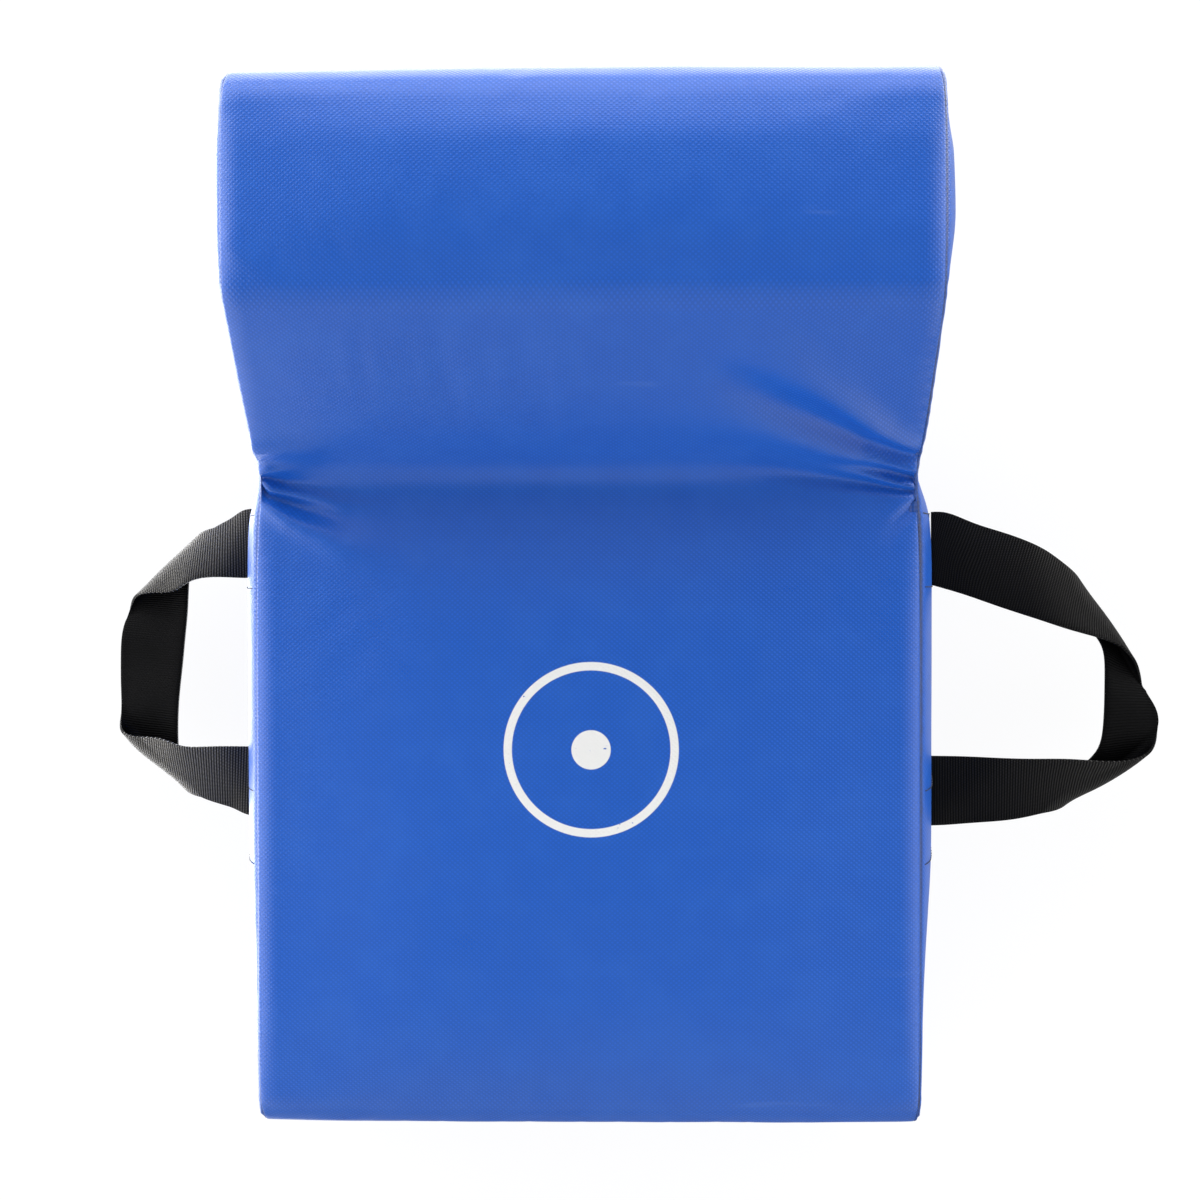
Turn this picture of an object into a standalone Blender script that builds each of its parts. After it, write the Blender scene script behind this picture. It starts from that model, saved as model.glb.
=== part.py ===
"""A padded tackle shield with a raised head and a webbing handle on each side.

The pad is a slab of foam with a double bend, in a cover of coated fabric. It lies on its back.
All sizes are in metres. X runs across the shield, Y from its bottom end to its head and Z from
its back to its striking face. The origin is on the flat back, in the middle of it.
"""

import bisect
import math

import bmesh
import bpy
from mathutils import Matrix, Vector

# The slab, between the seams of the cover
shield_width = 0.450
slab_thickness = 0.132
lower_length = 0.441
slope_run = 0.107
head_rise = 0.0976
head_length = 0.144
bottom_corner_radius = 0.023
top_corner_radius = 0.027
crease_radius = 0.045
crease_back_radius = 0.075
ridge_radius = 0.020
ridge_back_radius = 0.035

# How far the stuffed cover stands out past its seams
front_roll = 0.009
front_roll_width = 0.016
back_roll = 0.008
back_roll_width = 0.014
front_dome = 0.008
side_bulge = 0.0165
crease_pinch = 0.0025

# The cover
cover_thickness = 0.001
seam_gap = 0.0004
allowance_length = 0.008
allowance_tilt = math.radians(20)

# The foam
foam_clearance = 0.0008
foam_side_clearance = 0.0038
foam_corner_relief = 0.010
foam_layer_gap = 0.0004
core_share = 0.68

# The handles
webbing_width = 0.050
webbing_thickness = 0.0020
handle_depth = 0.080
left_upper_root_drop = 0.043
left_lower_root_y = 0.226
right_upper_root_drop = 0.048
right_lower_root_y = 0.219
upper_sewn_drop = 0.050
lower_sewn_y = 0.203
anchor_end_drop = 0.008
anchor_clearance = 0.0009
hinge_standoff = 0.0030
running_gap = 0.0003
slit_clearance = 0.0005
fold_radius = 0.0080
left_reach = 0.0830
left_upper_slant = math.radians(6)
left_lower_slant = math.radians(6)
left_lean = math.radians(-3)
right_reach = 0.138
right_upper_slant = math.radians(17)
right_lower_slant = math.radians(0)
right_lean = math.radians(4)
right_tilt = math.radians(6)

# The stitching that shows where the handles are sewn in
thread_radius = 0.0004
thread_gap = 0.0005

# The zip in the bottom end
zip_opening = 0.009
zip_end_distance = 0.039
tape_width = 0.012
tape_thickness = 0.0007
tape_overhang = 0.006
tooth_pitch = 0.006
tooth_gap = 0.0003
tooth_depth = 0.0024
chain_half_width = 0.0029
spine_width = 0.0010
slider_length = 0.010
slider_plate = 0.0015
slider_half_width = 0.0039
slider_bevel = 0.0005
bail_wall = 0.0012
bail_length = 0.0036
bar_radius = 0.0008
eye_radius = 0.0019
eye_half_width = 0.0018
tab_length = 0.026
tab_width = 0.008
tab_thickness = 0.0012
tab_bevel = 0.0004
stop_length = 0.003
channel_clearance = 0.0010

# The vents in the top end
vent_count = 3
vent_spacing = 0.060
vent_radius = 0.003
vent_barrel_radius = 0.0040
vent_flange_radius = 0.0070
vent_flange_thickness = 0.0006
vent_washer_thickness = 0.0006

# How finely each stretch of the outline is divided
end_arc_steps = 3
bend_steps = 4
nose_steps = 4

# Clearances for the modelling alone
cut_overrun = 0.002
weld_distance = 0.00001

# Rows along each straight run: its share, then shares of the front roll, dome and side bulge
lower_row_shares = (
    (0.0, 0.55, 0.35, 0.25),
    (0.17, 1.0, 0.75, 1.0),
    (0.42, 1.0, 1.0, 1.0),
    (0.70, 1.0, 0.95, 1.0),
    (0.86, 0.90, 0.62, 1.0),
    (0.94, 0.65, 0.30, 0.92),
    (1.0, 0.40, 0.10, 0.55),
)
slope_row_shares = (
    (0.0, 0.30, 0.05, 0.20),
    (0.30, 0.45, 0.25, 0.25),
    (0.70, 0.60, 0.40, 0.30),
    (1.0, 0.60, 0.35, 0.30),
)
head_row_shares = (
    (0.0, 0.70, 0.40, 0.50),
    (0.35, 1.0, 0.65, 1.0),
    (0.75, 0.90, 0.60, 0.85),
    (1.0, 0.55, 0.35, 0.30),
)
crease_shares = (0.20, 0.0, 0.15)
ridge_shares = (0.60, 0.35, 0.30)
end_shares = (0.15, 0.15, 0.05)
wide_column_shares = (0.0, 0.30, 0.60, 0.82)
back_column_shares = (0.0, 0.60)
foam_column_shares = (0.0, 0.60, 0.82)
bulge_power = 2.4
end_flat_share = 0.25

# Worked out from the sizes above
back_seam_z = back_roll
front_seam_z = back_seam_z + slab_thickness
total_length = lower_length + slope_run + head_length
bend_angle = math.atan2(head_rise, slope_run)
bend_shift = slab_thickness * math.tan(bend_angle / 2)
back_bend_tangent = crease_back_radius * math.tan(bend_angle / 2)
flat_back_end = lower_length + bend_shift - back_bend_tangent
bottom_y = -(bottom_corner_radius + flat_back_end) / 2
half_width = shield_width / 2
foam_inset = cover_thickness + foam_clearance
foam_side_inset = cover_thickness + foam_side_clearance
webbing_half = webbing_width / 2
web_half_thickness = webbing_thickness / 2
hinge_z = front_seam_z - handle_depth
hinge_x = half_width + side_bulge + hinge_standoff
strap_start = web_half_thickness + running_gap
root_ys = {
    -1: (lower_length - left_upper_root_drop, left_lower_root_y),
    1: (lower_length - right_upper_root_drop, right_lower_root_y),
}
upper_sewn_y = lower_length - upper_sewn_drop
zip_length = shield_width - 2 * zip_end_distance
zip_z = back_seam_z + slab_thickness / 2
tape_y = bottom_y + cover_thickness + running_gap + tape_thickness / 2
vent_z = zip_z + head_rise
top_y = bottom_y + total_length

vinyl_blue = (0.030, 0.125, 0.515, 1.0)
webbing_black = (0.012, 0.012, 0.013, 1.0)
firm_foam_grey = (0.16, 0.17, 0.18, 1.0)
soft_foam_cream = (0.80, 0.74, 0.55, 1.0)
thread_black = (0.015, 0.015, 0.018, 1.0)
zip_black = (0.02, 0.02, 0.022, 1.0)
nickel_grey = (0.62, 0.62, 0.60, 1.0)


class Row:
    """One line across the cover: where its seam ends lie and how far it stands out between."""

    def __init__(self, y, z, normal, roll, dome, bulge, pinch):
        self.y = y
        self.z = z
        self.normal = normal
        self.roll = roll
        self.dome = dome
        self.bulge = bulge
        self.pinch = pinch

    def point(self, u, inset, roll_width):
        """The point at share u of the half width, inset from the outer surface."""
        reach = half_width - self.pinch
        past_roll = max(0.0, abs(u) * reach - (reach - roll_width)) / roll_width
        rise = self.roll * math.sqrt(max(0.0, 1 - past_roll**2)) + self.dome * (1 - u**2)
        outward = rise - inset
        y = self.y + self.normal[0] * outward
        z = self.z + self.normal[1] * outward
        return Vector((u * reach, y, z))


def unit(a, b):
    length = math.hypot(b[0] - a[0], b[1] - a[1])
    return ((b[0] - a[0]) / length, (b[1] - a[1]) / length)


def outward_normal(direction, side):
    """The normal to the left of the direction for the front, to its right for the back."""
    return (-direction[1] * side, direction[0] * side)


def corner_rows(before, corner, after, radius, steps, first_share, last_share):
    """Points and directions round one corner, from one share of its arc to another."""
    into = unit(before, corner)
    out = unit(corner, after)
    turn = math.atan2(into[0] * out[1] - into[1] * out[0], into[0] * out[0] + into[1] * out[1])
    tangent = radius * math.tan(abs(turn) / 2)
    hand = math.copysign(1.0, turn)
    start = (corner[0] - into[0] * tangent, corner[1] - into[1] * tangent)
    centre = (start[0] - into[1] * radius * hand, start[1] + into[0] * radius * hand)
    rows = []
    for step in range(steps + 1):
        share = first_share + (last_share - first_share) * step / steps
        angle = turn * share
        arm = (start[0] - centre[0], start[1] - centre[1])
        y = centre[0] + arm[0] * math.cos(angle) - arm[1] * math.sin(angle)
        z = centre[1] + arm[0] * math.sin(angle) + arm[1] * math.cos(angle)
        along_y = into[0] * math.cos(angle) - into[1] * math.sin(angle)
        along_z = into[0] * math.sin(angle) + into[1] * math.cos(angle)
        rows.append(((y, z), (along_y, along_z)))
    return rows


def mix(a, b, share):
    return a + (b - a) * share


def mixed(first, last, share):
    return tuple(mix(a, b, share) for a, b in zip(first, last))


def profile_rows(side):
    """The rows from the bottom end to the top end, along the front (1) or the back (-1)."""
    shift = 0.0 if side > 0 else bend_shift
    level = front_seam_z if side > 0 else back_seam_z
    radii = (crease_radius, ridge_radius) if side > 0 else (crease_back_radius, ridge_back_radius)
    crease_y = bottom_y + lower_length + shift
    corners = (
        (bottom_y, level),
        (crease_y, level),
        (crease_y + slope_run, level + head_rise),
        (top_y, level + head_rise),
    )
    below = (bottom_y, zip_z)
    above = (top_y, vent_z)
    bottom = corner_rows(
        below, corners[0], corners[1], bottom_corner_radius, end_arc_steps, 0.5, 1.0
    )
    crease = corner_rows(corners[0], corners[1], corners[2], radii[0], bend_steps, 0.0, 1.0)
    ridge = corner_rows(corners[1], corners[2], corners[3], radii[1], bend_steps, 0.0, 1.0)
    top = corner_rows(corners[2], corners[3], above, top_corner_radius, end_arc_steps, 0.0, 0.5)
    placed = []

    def add_arc(arc, first, middle, last):
        steps = len(arc) - 1
        for index, (place, direction) in enumerate(arc):
            share = index / steps
            if middle is None:
                shares = mixed(first, last, share)
            elif share <= 0.5:
                shares = mixed(first, middle, share * 2)
            else:
                shares = mixed(middle, last, share * 2 - 1)
            placed.append((place, direction, shares))

    def add_run(start, end, table):
        for share, *shares in table[1:-1]:
            place = mixed(start[0], end[0], share)
            placed.append((place, start[1], tuple(shares)))

    add_arc(bottom, end_shares, None, lower_row_shares[0][1:])
    add_run(bottom[-1], crease[0], lower_row_shares)
    add_arc(crease, lower_row_shares[-1][1:], crease_shares, slope_row_shares[0][1:])
    add_run(crease[-1], ridge[0], slope_row_shares)
    add_arc(ridge, slope_row_shares[-1][1:], ridge_shares, head_row_shares[0][1:])
    add_run(ridge[-1], top[0], head_row_shares)
    add_arc(top, head_row_shares[-1][1:], None, end_shares)

    crease_middle = end_arc_steps + len(lower_row_shares) - 1 + bend_steps // 2
    rows = []
    for index, ((y, z), direction, shares) in enumerate(placed):
        normal = outward_normal(direction, side)
        nearness = max(0.0, 1 - abs(index - crease_middle) / bend_steps)
        pinch = crease_pinch * nearness
        bulge = side_bulge * shares[2]
        if side > 0:
            roll = front_roll * shares[0]
            dome = front_dome * shares[1]
        else:
            from_end = min(index, len(placed) - 1 - index) / end_arc_steps
            roll = back_roll * min(1.0, mix(end_shares[0], 1.0, from_end))
            dome = 0.0
        rows.append(Row(y, z, normal, roll, dome, bulge, pinch))
    return rows


front_rows = profile_rows(1)
back_rows = profile_rows(-1)
last_row = len(front_rows) - 1
lower_first = end_arc_steps
lower_last = lower_first + len(lower_row_shares) - 1
crease_row = lower_last + bend_steps // 2
slope_first = lower_last + bend_steps
slope_last = slope_first + len(slope_row_shares) - 1
ridge_row = slope_last + bend_steps // 2
head_first = slope_last + bend_steps
head_last = head_first + len(head_row_shares) - 1


def end_arc_share(radius, step):
    """The share of the end's height at one step of its corner arc, from the middle of the arc."""
    arc_drop = radius * (math.sin(math.pi / 4) - math.sin(math.pi / 4 * (1 - step / end_arc_steps)))
    height = slab_thickness - 2 * radius * (1 - math.sin(math.pi / 4))
    return arc_drop / height


def thickness_shares(radius):
    """Shares from the back seam to the front seam that follow the rounded corners of an end."""
    low = [end_arc_share(radius, step) for step in range(end_arc_steps + 1)]
    middle = [mix(low[-1], 1 - low[-1], third / 3) for third in (1, 2)]
    return low + middle + [1 - share for share in reversed(low)]


side_shares = thickness_shares(bottom_corner_radius)


def end_row(index, share):
    """A row across the bottom end (index 0) or the top end, at a share of the thickness."""
    top = index == last_row
    radius = top_corner_radius if top else bottom_corner_radius
    edge = top_y if top else bottom_y
    way = 1.0 if top else -1.0
    lift = head_rise if top else 0.0
    z = mix(back_rows[index].z, front_rows[index].z, share)
    upper_centre = front_seam_z + lift - radius
    lower_centre = back_seam_z + lift + radius
    past = max(0.0, z - upper_centre) + min(0.0, z - lower_centre)
    depth = math.sqrt(radius**2 - past**2)
    y = edge - way * (radius - depth)
    normal = (way * depth / radius, past / radius)
    swell = max(0.0, abs(2 * share - 1) - end_flat_share) / (1 - end_flat_share)
    source = front_rows[index]
    return Row(y, z, normal, source.roll * swell, source.dome * swell, source.bulge, source.pinch)


def round_bulge(share):
    return 1 - abs(2 * share - 1) ** bulge_power


def bulge_share(share):
    """The side's bulge at a share of the thickness, straight between the rows of its sheet."""
    low = min(max(bisect.bisect_right(side_shares, share) - 1, 0), len(side_shares) - 2)
    start, end = side_shares[low], side_shares[low + 1]
    return mix(round_bulge(start), round_bulge(end), (share - start) / (end - start))


def side_row(index, share):
    """Where a station of the side lies at a share of the thickness, and its half width there."""
    if index in (0, last_row):
        row = end_row(index, share)
        return Vector((row.y, row.z)), half_width - row.pinch + row.bulge * bulge_share(share)
    front = front_rows[index]
    back = back_rows[index]
    place = Vector((mix(back.y, front.y, share), mix(back.z, front.z, share)))
    reach = half_width - mix(back.pinch, front.pinch, share)
    bulge = mix(back.bulge, front.bulge, share)
    return place, reach + bulge * bulge_share(share)


def side_reach(y, z):
    """The half width of the cover at a place on the lower part of its side."""
    share = (z - back_seam_z) / slab_thickness
    low = min(max(bisect.bisect_right(side_shares, share) - 1, 0), len(side_shares) - 2)
    between = (share - side_shares[low]) / (side_shares[low + 1] - side_shares[low])
    reaches = []
    for column in (low, low + 1):
        line = [side_row(index, side_shares[column]) for index in range(crease_row + 1)]
        ys = [place.x for place, _ in line]
        after = min(max(bisect.bisect_right(ys, y), 1), len(ys) - 1)
        along = (y - ys[after - 1]) / (ys[after] - ys[after - 1])
        reaches.append(mix(line[after - 1][1], line[after][1], along))
    return mix(reaches[0], reaches[1], between)


def make_material(name, colour, roughness, metallic=0.0):
    material = bpy.data.materials.new(name)
    material.use_nodes = True
    shader = material.node_tree.nodes["Principled BSDF"]
    shader.inputs["Base Color"].default_value = colour
    shader.inputs["Roughness"].default_value = roughness
    shader.inputs["Metallic"].default_value = metallic
    material.diffuse_color = colour
    return material


def link_mesh(name, bm, collection, material):
    mesh = bpy.data.meshes.new(name)
    bm.to_mesh(mesh)
    bm.free()
    item = bpy.data.objects.new(name, mesh)
    collection.objects.link(item)
    if material:
        mesh.materials.append(material)
    return item


def surface(columns, rows, place):
    """A grid of columns by rows whose corners lie where place(column, row) says."""
    bm = bmesh.new()
    bmesh.ops.create_grid(bm, x_segments=columns - 1, y_segments=rows - 1, size=1)
    corners = {}
    for vert in bm.verts:
        column = round((vert.co.x + 1) / 2 * (columns - 1))
        row = round((vert.co.y + 1) / 2 * (rows - 1))
        corners[column, row] = vert
    for (column, row), vert in corners.items():
        vert.co = place(column, row)
    return bm, corners


def turn_in(bm, chain, depth_of):
    """Turns a seam allowance in from one run of an edge: each corner moves by depth_of(it)."""
    edges = [bm.edges.get((a, b)) for a, b in zip(chain, chain[1:])]
    made = bmesh.ops.extrude_edge_only(bm, edges=edges)
    moved = [item for item in made["geom"] if isinstance(item, bmesh.types.BMVert)]
    steps = {}
    for vert in moved:
        for edge in vert.link_edges:
            source = edge.other_vert(vert)
            if source in chain:
                steps[vert] = depth_of(chain.index(source))
    for vert, step in steps.items():
        vert.co += step


def allowance_step(side, normal, length):
    """How far and which way a seam allowance runs in from a side seam."""
    across = -side * math.cos(allowance_tilt) * length
    inward = -math.sin(allowance_tilt) * length
    return Vector((across, normal[0] * inward, normal[1] * inward))


def seam_shift(side, normal, way):
    """Half the seam's gap, towards the face panel (way 1) or the side panel (way -1)."""
    across = -side * math.sin(allowance_tilt) * seam_gap / 2 * way
    along = math.cos(allowance_tilt) * seam_gap / 2 * way
    return Vector((across, normal[0] * along, normal[1] * along))


def straight_runs():
    return (
        range(lower_first, lower_last + 1),
        range(slope_first, slope_last + 1),
        range(head_first, head_last + 1),
    )


def solidify(item, thickness, offset):
    shell = item.modifiers.new("Thickness", "SOLIDIFY")
    shell.thickness = thickness
    shell.offset = offset
    shell.use_even_offset = False
    return shell


def both_ways(shares):
    """The shares to the left of the middle, the middle, and the same to the right."""
    return [-share for share in reversed(shares[1:])] + list(shares)


def roll_columns(wide_shares, roll_width, steps):
    first = 1 - roll_width / half_width
    arc = [
        1 - roll_width / half_width * (1 - math.sin(math.pi / 2 * step / steps))
        for step in range(steps + 1)
    ]
    return both_ways([share for share in wide_shares if share < first] + arc)


front_columns = roll_columns(wide_column_shares, front_roll_width, end_arc_steps)
back_columns = roll_columns(back_column_shares, back_roll_width, end_arc_steps)


def build_face_panel(name, rows, columns, roll_width, first_run_row, flipped):
    """One face of the cover with its seam allowances, as an open sheet given a thickness."""
    order = list(reversed(columns)) if flipped else columns
    turned_in = {first_run_row + index for run in straight_runs() for index in run}

    def place(column, row):
        u = order[column]
        item = rows[row]
        spot = item.point(u, 0.0, roll_width)
        if abs(u) == 1:
            if row in turned_in:
                spot += seam_shift(math.copysign(1.0, u), item.normal, 1)
            else:
                spot.x -= math.copysign(cover_thickness + seam_gap, u)
        return spot

    bm, corners = surface(len(order), len(rows), place)
    for column in (0, len(order) - 1):
        side = math.copysign(1.0, order[column])
        for run in straight_runs():
            chain = [corners[column, first_run_row + index] for index in run]
            normals = [rows[first_run_row + index].normal for index in run]
            turn_in(bm, chain, lambda k: allowance_step(side, normals[k], allowance_length))
    item = link_mesh(name, bm, parts, vinyl)
    solidify(item, cover_thickness, -1.0)
    return item


def shifted(row, distance):
    """A row moved along its own surface, round the end, by a small distance."""
    y = row.y - row.normal[1] * distance
    z = row.z + row.normal[0] * distance
    return Row(y, z, row.normal, row.roll, row.dome, row.bulge, row.pinch)


def build_front_panel():
    half_opening = zip_opening / 2 / slab_thickness
    upper = [share for share in side_shares if 0.5 + half_opening < share < 1]
    top_shares = thickness_shares(top_corner_radius)
    rows = [end_row(0, share) for share in [0.5 + half_opening] + upper]
    first_run_row = len(rows)
    rows += front_rows
    rows += [end_row(last_row, share) for share in reversed(top_shares[:-1])]
    rows[-1] = shifted(rows[-1], seam_gap / 2)
    panel = build_face_panel(
        "front_panel", rows, front_columns, front_roll_width, first_run_row, False
    )
    for vent in range(vent_count):
        cut(panel, vent_cutter(vent))
    return panel


def build_back_panel():
    half_opening = zip_opening / 2 / slab_thickness
    lower = [share for share in reversed(side_shares) if 0 < share < 0.5 - half_opening]
    rows = [end_row(0, share) for share in [0.5 - half_opening] + lower]
    first_run_row = len(rows)
    rows += back_rows
    rows[-1] = shifted(rows[-1], -seam_gap / 2)
    return build_face_panel(
        "back_panel", rows, back_columns, back_roll_width, first_run_row, True
    )


def build_gusset(name, side):
    """The side panel: it bulges between its two seams and has a slit for each handle root."""
    stations = last_row + 1
    shares = side_shares if side > 0 else list(reversed(side_shares))

    def place(column, row):
        share = shares[column]
        spot, reach = side_row(row, share)
        point = Vector((side * reach, spot.x, spot.y))
        if share == 0:
            point += seam_shift(side, back_rows[row].normal, -1)
        elif share == 1:
            point += seam_shift(side, front_rows[row].normal, -1)
        elif row in (0, last_row):
            point += seam_shift(side, end_row(row, share).normal, -1)
        return point

    bm, corners = surface(len(shares), stations, place)
    bmesh.ops.reverse_faces(bm, faces=bm.faces)
    for column, rows in ((shares.index(1), front_rows), (shares.index(0), back_rows)):
        for run in straight_runs():
            chain = [corners[column, index] for index in run]
            normals = [rows[index].normal for index in run]
            turn_in(bm, chain, lambda k: allowance_step(side, normals[k], allowance_length))
    item = link_mesh(name, bm, parts, vinyl)
    solidify(item, cover_thickness, -1.0)
    for root_y in root_ys[side]:
        size = (
            side_bulge + hinge_standoff,
            webbing_width + 2 * slit_clearance,
            webbing_thickness + 2 * slit_clearance,
        )
        middle = (side * (half_width + size[0] / 2), bottom_y + root_y, hinge_z)
        cut(item, box(name + "_slit_cutter", size, middle, cutters, None))
    return item


def box(name, size, middle, collection, material, bevel=0.0):
    bm = bmesh.new()
    bmesh.ops.create_cube(bm, size=1, matrix=Matrix.Diagonal((*size, 1)))
    if bevel:
        bmesh.ops.bevel(bm, geom=bm.edges[:], offset=bevel, segments=2, affect="EDGES")
    item = link_mesh(name, bm, collection, material)
    item.location = middle
    return item


def cylinder(name, radius, length, matrix, collection, material, sides=20):
    bm = bmesh.new()
    bmesh.ops.create_cone(
        bm, cap_ends=True, segments=sides, radius1=radius, radius2=radius, depth=length
    )
    item = link_mesh(name, bm, collection, material)
    item.matrix_world = matrix
    item.data.shade_smooth()
    item.data.set_sharp_from_angle(angle=math.radians(40))
    return item


def hide_cutter(cutter):
    cutter.hide_render = True
    cutter.display_type = "WIRE"
    for collection in cutter.users_collection:
        collection.objects.unlink(cutter)
    cutters.objects.link(cutter)


def combine(item, other, operation):
    hide_cutter(other)
    boolean = item.modifiers.new(other.name, "BOOLEAN")
    boolean.operation = operation
    boolean.solver = "EXACT"
    boolean.object = other


def cut(item, cutter):
    combine(item, cutter, "DIFFERENCE")


def join(item, other):
    combine(item, other, "UNION")


def foam_block(name, first, last, low, high, material):
    """A block of foam between two stations and two shares of the thickness."""
    u_shares = both_ways(foam_column_shares + (1 - front_roll_width / half_width, 1.0))
    inner = [share for share in side_shares[end_arc_steps:-end_arc_steps] if low < share < high]
    bm = bmesh.new()
    bmesh.ops.create_cube(bm, size=2)
    for vert in bm.verts:
        vert.co.y = last if vert.co.y > 0 else first
        vert.co.z = high if vert.co.z > 0 else low
    planes = [((u, 0, 0), (1, 0, 0)) for u in u_shares[1:-1]]
    planes += [((0, station, 0), (0, 1, 0)) for station in range(first + 1, last)]
    planes += [((0, 0, share), (0, 0, 1)) for share in inner]
    for spot, normal in planes:
        geometry = bm.verts[:] + bm.edges[:] + bm.faces[:]
        bmesh.ops.bisect_plane(bm, geom=geometry, plane_co=spot, plane_no=normal)

    def place(u, station, share):
        front = front_rows[station].point(u, foam_inset, front_roll_width)
        back = back_rows[station].point(u, foam_inset, back_roll_width)
        _, reach = side_row(station, share)
        if share == 0:
            spot = back
        elif share == 1:
            spot = front
        elif station in (0, last_row):
            spot = end_row(station, share).point(u, foam_inset, front_roll_width)
        else:
            between, _ = side_row(station, share)
            spot = Vector((0, between.x, between.y))
        spot.x = u * (reach - foam_side_inset)
        if abs(u) == 1 and share in (0, 1):
            normal = (front_rows if share == 1 else back_rows)[station].normal
            spot.x -= u * foam_corner_relief
            spot.y -= normal[0] * foam_corner_relief
            spot.z -= normal[1] * foam_corner_relief
        if station == first and first > 0:
            spot.y += foam_layer_gap / 2
        if station == last and last < last_row:
            spot.y -= foam_layer_gap / 2
        if share == low and low > 0:
            spot.z += foam_layer_gap / 2
        if share == high and high < 1:
            spot.z -= foam_layer_gap / 2
        return spot

    ends = {round(u, 4): u for u in u_shares}
    levels = {round(share, 4): share for share in [low, high] + inner}
    for vert in bm.verts:
        u = ends[round(vert.co.x, 4)]
        share = levels[round(vert.co.z, 4)]
        vert.co = place(u, round(vert.co.y), share)
    return link_mesh(name, bm, parts, material)


def build_foam():
    spans = {
        "lower": (0, crease_row),
        "slope": (crease_row, ridge_row),
        "head": (ridge_row, last_row),
    }
    blocks = {}
    for part_name, (first, last) in spans.items():
        core = part_name + "_foam_core"
        pad = part_name + "_strike_foam"
        blocks[core] = foam_block(core, first, last, 0, core_share, firm_foam)
        blocks[pad] = foam_block(pad, first, last, core_share, 1, soft_foam)
    shallow_depth = cover_thickness + running_gap + tape_thickness + running_gap
    deep_depth = tape_y - bottom_y + tooth_depth / 2 + 2 * running_gap + slider_plate
    channel_length = zip_length + 2 * (tape_overhang + channel_clearance)
    depths = (
        ("tape_channel_cutter", shallow_depth, chain_half_width + running_gap + tape_width),
        ("slider_channel_cutter", deep_depth, slider_half_width + 2 * channel_clearance),
    )
    for cutter_name, depth, half_height in depths:
        size = (
            channel_length,
            2 * (depth + channel_clearance),
            2 * (half_height + channel_clearance),
        )
        cut(blocks["lower_foam_core"], box(cutter_name, size, (0, bottom_y, zip_z), cutters, None))
    pocket_half = vent_flange_radius + channel_clearance
    pocket = (
        vent_spacing * (vent_count - 1) + 2 * pocket_half,
        2 * (vent_inner_reach() + channel_clearance),
        2 * pocket_half,
    )
    cut(blocks["head_foam_core"], box("vent_pocket_cutter", pocket, (0, top_y, vent_z), cutters, None))


def closed_loft(name, sections, collection, material):
    """A solid through sections that all have as many points, with both ends filled."""
    bm = bmesh.new()
    rings = [[bm.verts.new(point) for point in section] for section in sections]
    count = len(rings[0])
    for ring, following in zip(rings, rings[1:]):
        for index in range(count):
            after = (index + 1) % count
            bm.faces.new((ring[index], ring[after], following[after], following[index]))
    bm.faces.new(list(reversed(rings[0])))
    bm.faces.new(rings[-1])
    bmesh.ops.recalc_face_normals(bm, faces=bm.faces)
    return link_mesh(name, bm, collection, material)


def thick_line(points, half_thickness):
    """The outline of a bent strip seen from its edge, square at its start and round at its end."""
    near, far = [], []
    for index, point in enumerate(points):
        before = points[max(index - 1, 0)]
        after = points[min(index + 1, len(points) - 1)]
        into = unit(before, point) if index else unit(point, after)
        out = unit(point, after) if index < len(points) - 1 else into
        normal = (-(into[1] + out[1]), into[0] + out[0])
        scale = half_thickness * 2 / (normal[0] ** 2 + normal[1] ** 2)
        near.append((point[0] + normal[0] * scale, point[1] + normal[1] * scale))
        far.append((point[0] - normal[0] * scale, point[1] - normal[1] * scale))
    tip = points[-1]
    heading = math.atan2(tip[1] - points[-2][1], tip[0] - points[-2][0])
    nose = []
    for step in range(1, nose_steps):
        angle = heading + math.pi / 2 - math.pi * step / nose_steps
        x = tip[0] + half_thickness * math.cos(angle)
        nose.append((x, tip[1] + half_thickness * math.sin(angle)))
    return near + nose + list(reversed(far))


def build_anchor(name, side, root_y, sewn_y):
    """The sewn end of a handle: down the inside of the side panel, then out of its slit."""
    top_z = front_seam_z - anchor_end_drop - allowance_length * math.sin(allowance_tilt)
    inset = cover_thickness + anchor_clearance + web_half_thickness
    levels = [
        back_seam_z + share * slab_thickness
        for share in reversed(side_shares)
        if hinge_z + webbing_thickness < back_seam_z + share * slab_thickness < top_z
    ]
    levels = [top_z] + levels
    sections = []
    columns = 5
    for column in range(columns):
        offset = mix(-webbing_half, webbing_half, column / (columns - 1))
        line = []
        ys = []
        for z in levels:
            lean = (z - hinge_z) / (top_z - hinge_z)
            y = mix(root_y, sewn_y, lean) + offset
            line.append((side_reach(bottom_y + y, z) - inset, z))
            ys.append(bottom_y + y)
        y = bottom_y + root_y + offset
        line.append((side_reach(y, hinge_z) - inset, hinge_z))
        line.append((hinge_x, hinge_z))
        outline = thick_line(line, web_half_thickness)
        ys += [y, y]
        outline_ys = ys + [y] * (nose_steps - 1) + list(reversed(ys))
        section = [(side * x, where, z) for (x, z), where in zip(outline, outline_ys)]
        sections.append(section)
    return closed_loft(name, sections, parts, webbing)


def build_anchors():
    for side, word in ((-1, "left"), (1, "right")):
        upper_y, lower_y = root_ys[side]
        build_anchor(word + "_upper_anchor", side, upper_y, upper_sewn_y)
        build_anchor(word + "_lower_anchor", side, lower_y, lower_sewn_y)


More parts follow.
